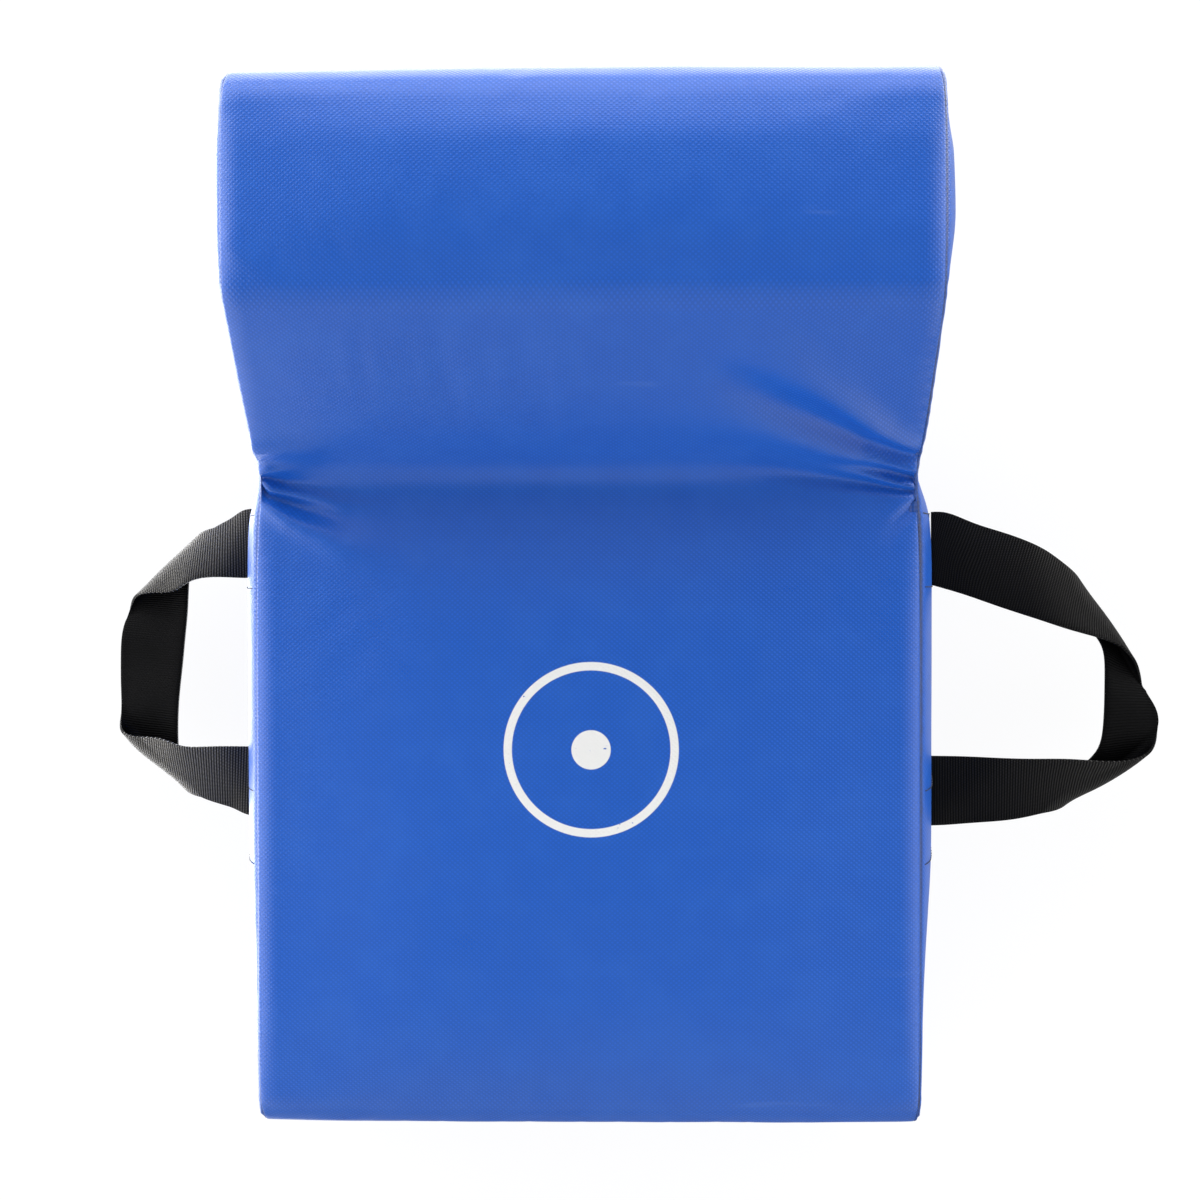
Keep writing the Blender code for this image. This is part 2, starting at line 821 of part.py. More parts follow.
class HandleRoute:
    """A flat strip that leaves the upper root, folds under, runs down and folds back over.

    Its own plane has the distance from the hinge first and the way up the shield second. The
    middle of the band between the folds lies at its reach, past what the soft folds push it out.
    """

    def __init__(self, roots, reach, upper_slant, lower_slant, lean):
        self.upper = Vector((0, roots[0]))
        self.lower = Vector((0, roots[1]))
        self.out_upper = Vector((math.cos(upper_slant), -math.sin(upper_slant)))
        self.out_lower = Vector((math.cos(lower_slant), math.sin(lower_slant)))
        self.down = Vector((-math.sin(lean), -math.cos(lean)))
        self.first_normal = (self.out_upper - self.down).normalized()
        self.second_normal = (self.down + self.out_lower).normalized()
        self.wrap = math.pi * fold_radius
        across = Vector((-self.down.y, self.down.x))
        middle = Vector((reach, sum(roots) / 2))
        first_push = across * (self.wrap * self.first_normal.dot(across))
        second_push = across * (self.wrap * self.second_normal.dot(across))
        self.fold_upper = self.meet(self.upper, self.out_upper, middle - first_push)
        self.fold_lower = self.meet(self.lower, self.out_lower, middle - second_push)

    def meet(self, start, direction, middle):
        gap = middle - start
        denominator = direction.x * self.down.y - direction.y * self.down.x
        along = (gap.x * self.down.y - gap.y * self.down.x) / denominator
        return start + direction * along

    def break_lines(self, across):
        """Lengths along the strip where it starts, folds and ends, at an offset across it."""
        side = Vector((-self.out_upper.y, self.out_upper.x))
        start = self.upper + side * across
        first = (strap_start - start.x) / self.out_upper.x
        to_fold = (self.fold_upper - start).dot(self.first_normal)
        speed = self.out_upper.dot(self.first_normal)
        fold_one = to_fold / speed
        fold_one_end = (to_fold + self.wrap) / speed
        there = self.flat_second(start, fold_one_end)
        to_second = (self.fold_lower - there).dot(self.second_normal)
        speed_two = self.down.dot(self.second_normal)
        fold_two = fold_one_end + to_second / speed_two
        fold_two_end = fold_two + self.wrap / speed_two
        back = self.flat_third(start, fold_two_end)
        last = fold_two_end + (back.x - strap_start) / self.out_lower.x
        return (first, fold_one, fold_one_end, fold_two, fold_two_end, last)

    def flat_second(self, start, length):
        spot = start + self.out_upper * length
        past = (spot - self.fold_upper).dot(self.first_normal)
        return spot - self.first_normal * (2 * past - self.wrap)

    def flat_third(self, start, length):
        spot = self.flat_second(start, length)
        past = (spot - self.fold_lower).dot(self.second_normal)
        return spot - self.second_normal * (2 * past - self.wrap)

    def point(self, length, across):
        """Distance out, way up the shield and height of a point of the strip."""
        side = Vector((-self.out_upper.y, self.out_upper.x))
        start = self.upper + side * across
        spot = start + self.out_upper * length
        past = (spot - self.fold_upper).dot(self.first_normal)
        if past <= 0:
            return Vector((spot.x, spot.y, 0))
        if past < self.wrap:
            angle = past / fold_radius
            spot += self.first_normal * (fold_radius * math.sin(angle) - past)
            return Vector((spot.x, spot.y, -fold_radius * (1 - math.cos(angle))))
        spot = self.flat_second(start, length)
        past = (spot - self.fold_lower).dot(self.second_normal)
        if past <= 0:
            return Vector((spot.x, spot.y, -2 * fold_radius))
        if past < self.wrap:
            angle = past / fold_radius
            spot += self.second_normal * (fold_radius * math.sin(angle) - past)
            return Vector((spot.x, spot.y, -fold_radius * (1 + math.cos(angle))))
        spot = self.flat_third(start, length)
        return Vector((spot.x, spot.y, 0))


def build_handle(name, side, route, tilt):
    """The free loop of a handle, which swings about the line where it leaves the slits."""
    across_steps = 4
    stretch_steps = (4, 6, 4, 6, 4)
    lengths = sum(stretch_steps) + 1
    table = []
    for column in range(across_steps + 1):
        across = mix(-webbing_half, webbing_half, column / across_steps)
        lines = route.break_lines(across)
        stations = [lines[0]]
        for start, end, steps in zip(lines, lines[1:], stretch_steps):
            stations += [mix(start, end, step / steps) for step in range(1, steps + 1)]
        table.append((across, stations))

    def place(column, row):
        across, stations = table[column]
        out, up, height = route.point(stations[row], across)
        x = out * math.cos(tilt) - height * math.sin(tilt)
        z = out * math.sin(tilt) + height * math.cos(tilt)
        return Vector((side * x, up - route.upper.y, z))

    bm, _ = surface(across_steps + 1, lengths, place)
    item = link_mesh(name, bm, parts, webbing)
    solidify(item, webbing_thickness, 0.0)
    hinge = bpy.data.objects.new(name + "_hinge", None)
    parts.objects.link(hinge)
    hinge.location = (side * hinge_x, bottom_y + route.upper.y, hinge_z)
    item.parent = hinge
    return item


def build_handles():
    left = HandleRoute(root_ys[-1], left_reach, left_upper_slant, left_lower_slant, left_lean)
    right = HandleRoute(root_ys[1], right_reach, right_upper_slant, right_lower_slant, right_lean)
    build_handle("left_handle_webbing", -1, left, 0.0)
    build_handle("right_handle_webbing", 1, right, right_tilt)


def build_stitch_row(name, side, root_y, sewn_y, edge):
    """A row of thread down the side panel, along one edge of a sewn handle end."""
    top_z = front_seam_z - anchor_end_drop
    bottom_z = hinge_z + webbing_thickness + slit_clearance
    curve = bpy.data.curves.new(name, "CURVE")
    curve.dimensions = "3D"
    curve.bevel_depth = thread_radius
    curve.bevel_resolution = 1
    curve.use_fill_caps = True
    standoff = thread_radius + thread_gap
    levels = [
        back_seam_z + share * slab_thickness
        for share in reversed(side_shares)
        if bottom_z < back_seam_z + share * slab_thickness < top_z
    ]
    path = []
    for z in [top_z] + levels + [bottom_z]:
        lean = (z - hinge_z) / (top_z - hinge_z)
        y = bottom_y + mix(root_y, sewn_y, lean) + edge * webbing_half
        path.append((side * (side_reach(y, z) + standoff), y, z))
    spline = curve.splines.new("POLY")
    spline.points.add(len(path) - 1)
    for point, place in zip(spline.points, path):
        point.co = (*place, 1)
    item = bpy.data.objects.new(name, curve)
    parts.objects.link(item)
    curve.materials.append(thread)
    return item


def build_stitching():
    for side, side_word in ((-1, "left"), (1, "right")):
        for root_y, sewn_y, root_word in zip(
            root_ys[side], (upper_sewn_y, lower_sewn_y), ("upper", "lower")
        ):
            for edge, edge_word in ((1, "head_side"), (-1, "foot_side")):
                name = "%s_%s_stitching_%s" % (side_word, root_word, edge_word)
                build_stitch_row(name, side, root_y, sewn_y, edge)


def build_zip():
    tape_inner = chain_half_width + running_gap
    tape_length = zip_length + 2 * tape_overhang
    for word, way in (("front", 1), ("back", -1)):
        size = (tape_length, tape_thickness, tape_width)
        middle = (0, tape_y, zip_z + way * (tape_inner + tape_width / 2))
        box("zip_%s_tape" % word, size, middle, parts, zip_cloth)
        build_teeth("zip_%s_teeth" % word, way)
    build_stops()
    build_slider()


def build_teeth(name, way):
    """A spine with teeth that reach between those of the other side."""
    tooth_half = tooth_pitch / 4 - tooth_gap / 2
    reach = chain_half_width - spine_width - tooth_gap
    offset = tooth_pitch / 4 * way
    count = int(zip_length / tooth_pitch)
    outline = [(-zip_length / 2, chain_half_width), (-zip_length / 2, chain_half_width - spine_width)]
    for tooth in range(count):
        middle = (tooth - (count - 1) / 2) * tooth_pitch + offset
        outline += [
            (middle - tooth_half, chain_half_width - spine_width),
            (middle - tooth_half, -reach),
            (middle + tooth_half, -reach),
            (middle + tooth_half, chain_half_width - spine_width),
        ]
    outline += [(zip_length / 2, chain_half_width - spine_width), (zip_length / 2, chain_half_width)]
    outline = [(x, z * way) for x, z in outline]
    sections = [
        [(x, tape_y + depth, zip_z + z) for x, z in outline]
        for depth in (-tooth_depth / 2, tooth_depth / 2)
    ]
    return closed_loft(name, sections, parts, zip_plastic)


def build_stops():
    size = (stop_length, tooth_depth, 2 * chain_half_width)
    far = zip_length / 2 + running_gap + stop_length / 2
    for word, way in (("left", -1), ("right", 1)):
        box("zip_%s_stop" % word, size, (way * far, tape_y, zip_z), parts, zip_metal)


def build_slider():
    """A plate outside the teeth with a bail for the pull tab, and a plate behind them."""
    park_x = zip_length / 2 - slider_length / 2 - running_gap
    outer_y = tape_y - tooth_depth / 2 - running_gap - slider_plate / 2
    inner_y = tape_y + tooth_depth / 2 + running_gap + slider_plate / 2
    bar_y = outer_y - slider_plate / 2 - running_gap - eye_radius
    plate = (slider_length, slider_plate, 2 * slider_half_width)
    slider = box("zip_slider", plate, (park_x, outer_y, zip_z), parts, zip_metal, slider_bevel)
    box("zip_slider_inner_plate", plate, (park_x, inner_y, zip_z), parts, zip_metal, slider_bevel)
    wall_near = bar_y - bar_radius
    wall_far = outer_y
    wall_size = (bail_length, wall_far - wall_near, bail_wall)
    for way in (-1, 1):
        middle_z = zip_z + way * (eye_half_width + running_gap + bail_wall / 2)
        middle = (park_x, (wall_near + wall_far) / 2, middle_z)
        wall = box("slider_bail_wall", wall_size, middle, cutters, zip_metal)
        join(slider, wall)
    bar_length = 2 * (eye_half_width + running_gap + bail_wall / 2)
    bar_matrix = Matrix.Translation((park_x, bar_y, zip_z))
    join(slider, cylinder("slider_bar", bar_radius, bar_length, bar_matrix, cutters, zip_metal, 12))

    eye_matrix = Matrix.Translation((park_x, bar_y, zip_z))
    tab = cylinder(
        "zip_pull_tab", eye_radius, 2 * eye_half_width, eye_matrix, parts, zip_metal, 16
    )
    neck_size = (eye_radius + bail_length, tab_thickness, 2 * eye_half_width)
    neck_x = park_x - neck_size[0] / 2 - bar_radius
    neck = box("tab_neck", neck_size, (neck_x, bar_y, zip_z), cutters, zip_metal)
    join(tab, neck)
    blade_size = (tab_length - neck_size[0], tab_thickness, tab_width)
    blade_x = neck_x - neck_size[0] / 2 - blade_size[0] / 2 + tab_bevel
    blade = box("tab_blade", blade_size, (blade_x, bar_y, zip_z), cutters, zip_metal, tab_bevel)
    join(tab, blade)
    bore_radius = bar_radius + running_gap
    bore_length = 2 * (eye_half_width + cut_overrun)
    cut(tab, cylinder("tab_bore", bore_radius, bore_length, eye_matrix, cutters, None, 16))


def vent_inner_reach():
    """How far the inside of a vent lies from the outer face of the top end."""
    return cover_thickness + 2 * running_gap + vent_washer_thickness + vent_flange_thickness


def vent_place(vent):
    x = (vent - (vent_count - 1) / 2) * vent_spacing
    return Matrix.Translation((x, top_y, vent_z)) @ Matrix.Rotation(math.radians(-90), 4, "X")


def vent_cutter(vent):
    length = 2 * (cover_thickness + cut_overrun)
    radius = vent_barrel_radius + running_gap
    return cylinder("vent_cutter", radius, length, vent_place(vent), cutters, None, 16)


def turned(name, outline, matrix, collection, material, steps=16):
    """A ring turned about its own Z axis from a closed outline of radius and height."""
    mesh = bpy.data.meshes.new(name)
    points = [(radius, 0, height) for radius, height in outline]
    edges = [(index, (index + 1) % len(points)) for index in range(len(points))]
    mesh.from_pydata(points, edges, [])
    item = bpy.data.objects.new(name, mesh)
    collection.objects.link(item)
    mesh.materials.append(material)
    item.matrix_world = matrix
    screw = item.modifiers.new("Turn", "SCREW")
    screw.steps = steps
    screw.render_steps = steps
    screw.use_merge_vertices = True
    screw.merge_threshold = weld_distance
    return item


def build_vents():
    inner = vent_inner_reach()
    outer = running_gap + vent_flange_thickness
    lip = vent_barrel_radius + vent_flange_thickness
    eyelet = (
        (vent_flange_radius, outer),
        (vent_flange_radius, running_gap),
        (vent_barrel_radius, running_gap),
        (vent_barrel_radius, -inner + vent_flange_thickness),
        (lip, -inner + vent_flange_thickness),
        (lip, -inner),
        (vent_radius, -inner),
        (vent_radius, outer),
    )
    washer_top = -cover_thickness - running_gap
    washer_hole = vent_barrel_radius + running_gap
    washer = (
        (vent_flange_radius, washer_top),
        (vent_flange_radius, washer_top - vent_washer_thickness),
        (washer_hole, washer_top - vent_washer_thickness),
        (washer_hole, washer_top),
    )
    for vent in range(vent_count):
        place = vent_place(vent)
        turned("vent_eyelet_%d" % (vent + 1), eyelet, place, parts, vent_metal)
        turned("vent_washer_%d" % (vent + 1), washer, place, parts, vent_metal)


for old in list(bpy.data.objects):
    bpy.data.objects.remove(old, do_unlink=True)

parts = bpy.data.collections.new("tackle_shield")
cutters = bpy.data.collections.new("cutters")
bpy.context.scene.collection.children.link(parts)
bpy.context.scene.collection.children.link(cutters)

vinyl = make_material("blue_vinyl", vinyl_blue, 0.42)
webbing = make_material("black_webbing", webbing_black, 0.75)
firm_foam = make_material("firm_foam", firm_foam_grey, 0.9)
soft_foam = make_material("soft_foam", soft_foam_cream, 0.9)
thread = make_material("black_thread", thread_black, 0.7)
zip_cloth = make_material("zip_tape", zip_black, 0.8)
zip_plastic = make_material("zip_plastic", zip_black, 0.4)
zip_metal = make_material("zip_nickel", nickel_grey, 0.3, 1.0)
vent_metal = make_material("vent_nickel", nickel_grey, 0.25, 1.0)

build_front_panel()
build_back_panel()
build_gusset("left_gusset", -1)
build_gusset("right_gusset", 1)
build_foam()
build_anchors()
build_handles()
build_stitching()
build_zip()
build_vents()
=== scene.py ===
"""Looks of a padded tackle shield: its coated-fabric cover, foam, webbing handles, zip and vents."""

import math

import bmesh
import bpy
from bpy.props import FloatProperty, FloatVectorProperty, IntProperty, PointerProperty
from mathutils import Matrix, Vector, noise


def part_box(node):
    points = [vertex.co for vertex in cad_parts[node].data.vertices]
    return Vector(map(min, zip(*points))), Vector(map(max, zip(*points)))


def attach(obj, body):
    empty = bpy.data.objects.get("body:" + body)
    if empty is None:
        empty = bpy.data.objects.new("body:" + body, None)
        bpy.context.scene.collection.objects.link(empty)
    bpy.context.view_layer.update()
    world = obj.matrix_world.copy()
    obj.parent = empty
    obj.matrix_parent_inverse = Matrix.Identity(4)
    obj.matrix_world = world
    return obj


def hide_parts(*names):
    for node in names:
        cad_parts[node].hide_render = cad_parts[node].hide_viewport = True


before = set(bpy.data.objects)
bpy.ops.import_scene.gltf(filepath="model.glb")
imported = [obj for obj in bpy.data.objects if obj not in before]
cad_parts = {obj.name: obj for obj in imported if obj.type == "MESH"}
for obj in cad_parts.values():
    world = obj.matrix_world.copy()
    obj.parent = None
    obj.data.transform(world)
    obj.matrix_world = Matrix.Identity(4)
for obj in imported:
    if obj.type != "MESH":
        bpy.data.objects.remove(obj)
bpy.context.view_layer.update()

bl_info = {
    "name": "Tackle Shield",
    "version": (1, 0, 0),
    "blender": (4, 5, 0),
    "location": "View3D > Sidebar > Shield",
    "description": "Dresses a tackle shield in its cover, foam, handles, zip and vents",
    "category": "Add Mesh",
}


def length_of(name, description, default):
    return FloatProperty(
        name=name, description=description, default=default, precision=5, unit="LENGTH"
    )


def angle_of(name, description, degrees):
    return FloatProperty(
        name=name, description=description, default=math.radians(degrees), unit="ROTATION"
    )


def share_of(name, description, default):
    return FloatProperty(name=name, description=description, default=default, precision=3)


def colour_of(name, description, default):
    return FloatVectorProperty(
        name=name, description=description, default=default, size=3, min=0, max=1, subtype="COLOR"
    )


class PadSizes(bpy.types.PropertyGroup):
    width: length_of("Width", "Between the side seams", 0.450)
    thickness: length_of("Thickness", "Between the front and back seams", 0.132)
    lower_length: length_of("Lower length", "From the bottom end to the crease", 0.441)
    slope_run: length_of("Slope run", "From the crease to the ridge, seen from the front", 0.107)
    head_rise: length_of("Head rise", "How far the head stands in front", 0.0976)
    head_length: length_of("Head length", "From the ridge to the top end", 0.144)
    bottom_radius: length_of("Bottom radius", "Rounding of the bottom end", 0.023)
    top_radius: length_of("Top radius", "Rounding of the top end", 0.027)
    crease_radius: length_of("Crease radius", "Rounding in front", 0.045)
    crease_back_radius: length_of("Crease back radius", "Rounding behind", 0.075)
    ridge_radius: length_of("Ridge radius", "Rounding in front", 0.020)
    ridge_back_radius: length_of("Ridge back radius", "Rounding behind", 0.035)
    front_roll: length_of("Front roll", "How far the front stands out of its seams", 0.009)
    front_roll_width: length_of("Front roll width", "Over what width it rolls", 0.016)
    back_roll: length_of("Back roll", "How far the back stands out of its seams", 0.008)
    back_roll_width: length_of("Back roll width", "Over what width it rolls", 0.014)
    front_dome: length_of("Front dome", "How far the middle is crowned", 0.013)
    side_bulge: length_of("Side bulge", "How far a side swells between its seams", 0.0150)
    crease_pinch: length_of("Crease pinch", "How far the crease draws the sides in", 0.0025)
    crease_reach: length_of("Crease reach", "How far along the side the pinch fades out", 0.040)
    skin: length_of("Cover thickness", "Coated fabric", 0.001)
    seam_gap: length_of("Seam gap", "Between two sewn edges", 0.0005)
    slack_gap: length_of("Slack gap", "The same on the right, where the seam gapes", 0.0013)
    seam_tuck: length_of("Seam tuck", "How far a seam is drawn in", 0.0026)
    seam_tuck_reach: length_of("Seam tuck reach", "Over what width it is drawn in", 0.0026)
    allowance: length_of("Seam allowance", "Width of the edge that is turned in", 0.006)
    allowance_tilt: angle_of("Allowance tilt", "How the turned edge dips", 20)
    pucker: length_of("Pucker", "Height of the puckers along a seam", 0.00030)
    pucker_pitch: length_of("Pucker pitch", "Length of one pucker", 0.011)
    wave: length_of("Wave", "Height of the slow waves in the face", 0.0007)
    cloth_frames: IntProperty(
        name="Cloth frames", description="How long the front settles as cloth", default=16, min=2
    )
    cloth_slack: share_of("Cloth slack", "Share by which the fabric is cut large", 0.0015)
    cloth_pressure: share_of("Cloth pressure", "Push of the stuffing", 3.0)
    cloth_reach: length_of("Cloth reach", "How far the cloth may move at most", 0.0030)
    foam_shrink: length_of("Foam shrink", "Clearance inside the cover", 0.0040)
    foam_bevel: length_of("Foam bevel", "Rounding of the foam", 0.0050)


class HandleSizes(bpy.types.PropertyGroup):
    width: length_of("Width", "Width of the webbing", 0.050)
    thickness: length_of("Thickness", "Thickness of the webbing", 0.0020)
    depth: length_of("Depth", "From the front seam to the slits", 0.080)
    hinge_standoff: length_of("Standoff", "From the side's crown to the fold line", 0.0045)
    running_gap: length_of("Gap", "Between the loop and its sewn end", 0.0003)
    left_upper_root: length_of("Left upper root", "From the bottom end", 0.398)
    left_lower_root: length_of("Left lower root", "From the bottom end", 0.226)
    right_upper_root: length_of("Right upper root", "From the bottom end", 0.393)
    right_lower_root: length_of("Right lower root", "From the bottom end", 0.219)
    upper_sewn: length_of("Upper sewn end", "From the bottom end", 0.391)
    lower_sewn: length_of("Lower sewn end", "From the bottom end", 0.203)
    end_drop: length_of("End drop", "From the front seam to the sewn end", 0.011)
    fold_radius: length_of("Fold radius", "Softness of the two folds", 0.0105)
    left_reach: length_of("Left reach", "From the side to the middle of the band", 0.083)
    left_upper_slant: angle_of("Left upper slant", "Slope of the upper arm", 1)
    left_lower_slant: angle_of("Left lower slant", "Slope of the lower arm", 2)
    left_lean: angle_of("Left lean", "Lean of the band", -3)
    left_tilt: angle_of("Left tilt", "How the loop rises from the side", 0)
    right_reach: length_of("Right reach", "From the side to the middle of the band", 0.138)
    right_upper_slant: angle_of("Right upper slant", "Slope of the upper arm", 17)
    right_lower_slant: angle_of("Right lower slant", "Slope of the lower arm", 0)
    right_lean: angle_of("Right lean", "Lean of the band", 4)
    right_tilt: angle_of("Right tilt", "How the loop rises from the side", 6)
    # The two wear settings give painted sheen: light grey painted on the loops' arms, strongest on the
    # left.
    left_painted_sheen: share_of("Left wear", "How far the arms of the left loop are rubbed grey", 1.0)
    right_painted_sheen: share_of("Right wear", "How far the arms of the right loop are rubbed grey", 0.12)
    thread_radius: length_of("Thread radius", "Half the thickness of the thread", 0.0004)
    stitch_length: length_of("Stitch length", "Length of one stitch", 0.0032)
    stitch_pitch: length_of("Stitch pitch", "From one stitch to the next", 0.0038)


class ZipSizes(bpy.types.PropertyGroup):
    opening: length_of("Opening", "Between the two edges of the cover", 0.009)
    hem_inset: length_of("Hem inset", "From the edge of the cover to its stitches", 0.0035)
    metal_bevel: length_of("Metal bevel", "Rounding of the small metal edges", 0.00022)
    teeth_bevel: length_of("Teeth bevel", "Rounding of the teeth", 0.00018)


class VentSizes(bpy.types.PropertyGroup):
    count: IntProperty(name="Vents", description="How many vents", default=3, min=1)
    bore: length_of("Bore", "Radius of the hole", 0.003)
    barrel: length_of("Barrel", "Radius of the barrel", 0.0040)
    flange: length_of("Flange", "Radius of the flange", 0.0070)
    flange_thickness: length_of("Flange thickness", "Thickness of the flange", 0.0006)


class ShieldColours(bpy.types.PropertyGroup):
    vinyl: colour_of("Vinyl", "Coated fabric of the cover", (0.0075, 0.094, 0.480))
    vinyl_light: colour_of("Worn vinyl", "Where the coating is lighter", (0.016, 0.124, 0.545))
    mark: colour_of("Mark", "Strike mark on the face", (0.86, 0.86, 0.85))
    webbing: colour_of("Webbing", "Handle webbing", (0.0024, 0.0024, 0.0027))
    thread: colour_of("Thread", "Stitching of the handles", (0.015, 0.015, 0.018))
    hem_thread: colour_of("Hem thread", "Stitching of the cover", (0.03, 0.12, 0.42))
    firm_foam: colour_of("Firm foam", "Core of the pad", (0.16, 0.17, 0.18))
    soft_foam: colour_of("Soft foam", "Striking layer", (0.80, 0.74, 0.55))
    zip_black: colour_of("Zip", "Tapes and teeth of the zip", (0.020, 0.020, 0.022))
    nickel: colour_of("Nickel", "Slider, stops and vents", (0.62, 0.62, 0.60))
    floor: colour_of("Floor", "Pale studio floor", (0.93, 0.93, 0.93))


class StageSettings(bpy.types.PropertyGroup):
    floor_size: length_of("Floor size", "Side of the floor", 12.0)
    floor_drop: length_of("Floor drop", "Clearance under the shield", 0.0004)
    floor_white: share_of("Floor white", "How far the camera sees the floor as plain white", 0.86)
    floor_gleam: share_of("Floor gleam", "Brightness of the floor in reflections", 6.2)
    camera_x: length_of("Camera X", "Place of the camera", 0.0326)
    camera_y: length_of("Camera Y", "Place of the camera", 0.1325)
    camera_z: length_of("Camera Z", "Place of the camera", 1.3123)
    camera_lens: share_of("Focal length", "Millimetres on a 36 mm sensor", 52.17)
    zenith: share_of("Zenith", "Brightness of the sky overhead", 0.06)
    haze: share_of("Haze", "Brightness of the sky at the horizon, all round", 0.08)
    left_glow: share_of("Left glow", "Further brightness of the horizon on the left", 2.9)
    top_glow: share_of("Top glow", "Further brightness of the horizon beyond the head", 3.0)
    right_glow: share_of("Right glow", "Further brightness of the horizon on the right", 1.9)
    foot_glow: share_of("Foot glow", "Brightness of the sky beyond the bottom end", 0.45)
    key_power: share_of("Key power", "Watts of the lamp on the left", 5.5)
    top_power: share_of("Top power", "Watts of the lamp beyond the head", 3.0)
    fill_power: share_of("Fill power", "Watts of the lamp on the right", 3.6)
    foot_power: share_of("Foot power", "Watts of the lamp beyond the bottom end", 2.6)


class ShieldSettings(bpy.types.PropertyGroup):
    pad: PointerProperty(type=PadSizes)
    handles: PointerProperty(type=HandleSizes)
    zip: PointerProperty(type=ZipSizes)
    vents: PointerProperty(type=VentSizes)
    colours: PointerProperty(type=ShieldColours)
    stage: PointerProperty(type=StageSettings)


# Stations run along the shield: 0 to 1 is the bottom corner, then the lower part, the crease, the
# slope, the ridge, the head and the top corner, one unit each. Every key gives shares of the front
# roll, the dome and the side bulge.
SWELL_SHARES = (
    (0.0, 0.15, 0.15, 0.05),
    (1.0, 0.55, 0.35, 0.25),
    (1.17, 1.0, 0.75, 0.55),
    (1.42, 1.0, 1.0, 0.97),
    (1.68, 1.0, 1.0, 1.0),
    (1.78, 0.94, 0.86, 1.0),
    (1.86, 0.78, 0.60, 1.0),
    (1.94, 0.52, 0.28, 0.92),
    (2.0, 0.32, 0.07, 0.55),
    (2.5, 0.20, 0.0, 0.15),
    (3.0, 0.30, 0.05, 0.20),
    (3.30, 0.45, 0.25, 0.25),
    (3.70, 0.60, 0.40, 0.30),
    (4.0, 0.60, 0.35, 0.30),
    (4.5, 0.60, 0.35, 0.30),
    (5.0, 0.70, 0.40, 0.50),
    (5.35, 1.0, 0.65, 0.85),
    (5.75, 0.90, 0.60, 0.75),
    (6.0, 0.55, 0.35, 0.30),
    (7.0, 0.15, 0.15, 0.05),
)
CREASE = 2.5
RIDGE = 4.5
LAST = 7.0
LAST_PART = 6
BULGE_POWER = 2.4
END_FLAT_SHARE = 0.25
END_ROLL_SHARE = 0.15
PINCH_SPREAD = 0.62
HALVINGS = 18


def mix(a, b, share):
    return a + (b - a) * share


def smooth(value, low, high):
    share = min(max((value - low) / (high - low), 0.0), 1.0)
    return share * share * (3 - 2 * share)


def bell(distance, width):
    return math.exp(-((distance / width) ** 2))


def last_where(test, low, high):
    """The number between two others at which a test stops being true."""
    for _ in range(HALVINGS):
        middle = (low + high) / 2
        if test(middle):
            low = middle
        else:
            high = middle
    return low


class Curve:
    """A smooth curve through keys that never swings past them."""

    def __init__(self, places, values):
        self.places = places
        self.values = values
        slopes = [
            (values[i + 1] - values[i]) / (places[i + 1] - places[i]) for i in range(len(places) - 1)
        ]
        self.tangents = [slopes[0]]
        for before, after in zip(slopes, slopes[1:]):
            level = before * after <= 0
            self.tangents.append(0.0 if level else 2 * before * after / (before + after))
        self.tangents.append(slopes[-1])

    def __call__(self, place):
        place = min(max(place, self.places[0]), self.places[-1])
        index = 0
        while index < len(self.places) - 2 and place > self.places[index + 1]:
            index += 1
        span = self.places[index + 1] - self.places[index]
        t = (place - self.places[index]) / span
        return (
            (2 * t**3 - 3 * t**2 + 1) * self.values[index]
            + (t**3 - 2 * t**2 + t) * span * self.tangents[index]
            + (3 * t**2 - 2 * t**3) * self.values[index + 1]
            + (t**3 - t**2) * span * self.tangents[index + 1]
        )


class Bend:
    """A rounded corner of the profile."""

    def __init__(self, before, corner, after, radius):
        self.into = (corner - before).normalized()
        out = (after - corner).normalized()
        self.turn = math.atan2(self.into.cross(out), self.into.dot(out))
        tangent = radius * math.tan(abs(self.turn) / 2)
        hand = math.copysign(radius, self.turn)
        self.start = corner - self.into * tangent
        self.end = corner + out * tangent
        self.centre = self.start + Vector((-self.into.y, self.into.x)) * hand
        self.length = abs(self.turn) * radius

    def at(self, share):
        turned = Matrix.Rotation(self.turn * share, 2)
        return self.centre + turned @ (self.start - self.centre), turned @ self.into


class Straight:
    """A straight stretch of the profile."""

    def __init__(self, start, end):
        self.start = start
        self.end = end
        self.direction = (end - start).normalized()
        self.length = (end - start).length

    def at(self, share):
        return self.start.lerp(self.end, share), self.direction


class Row:
    """One line across the cover: its seam place, its outward normal and how far it swells."""

    def __init__(self, place, normal, roll, dome, bulge, pinch, run):
        self.place = place
        self.normal = normal
        self.roll = roll
        self.dome = dome
        self.bulge = bulge
        self.pinch = pinch
        self.run = run


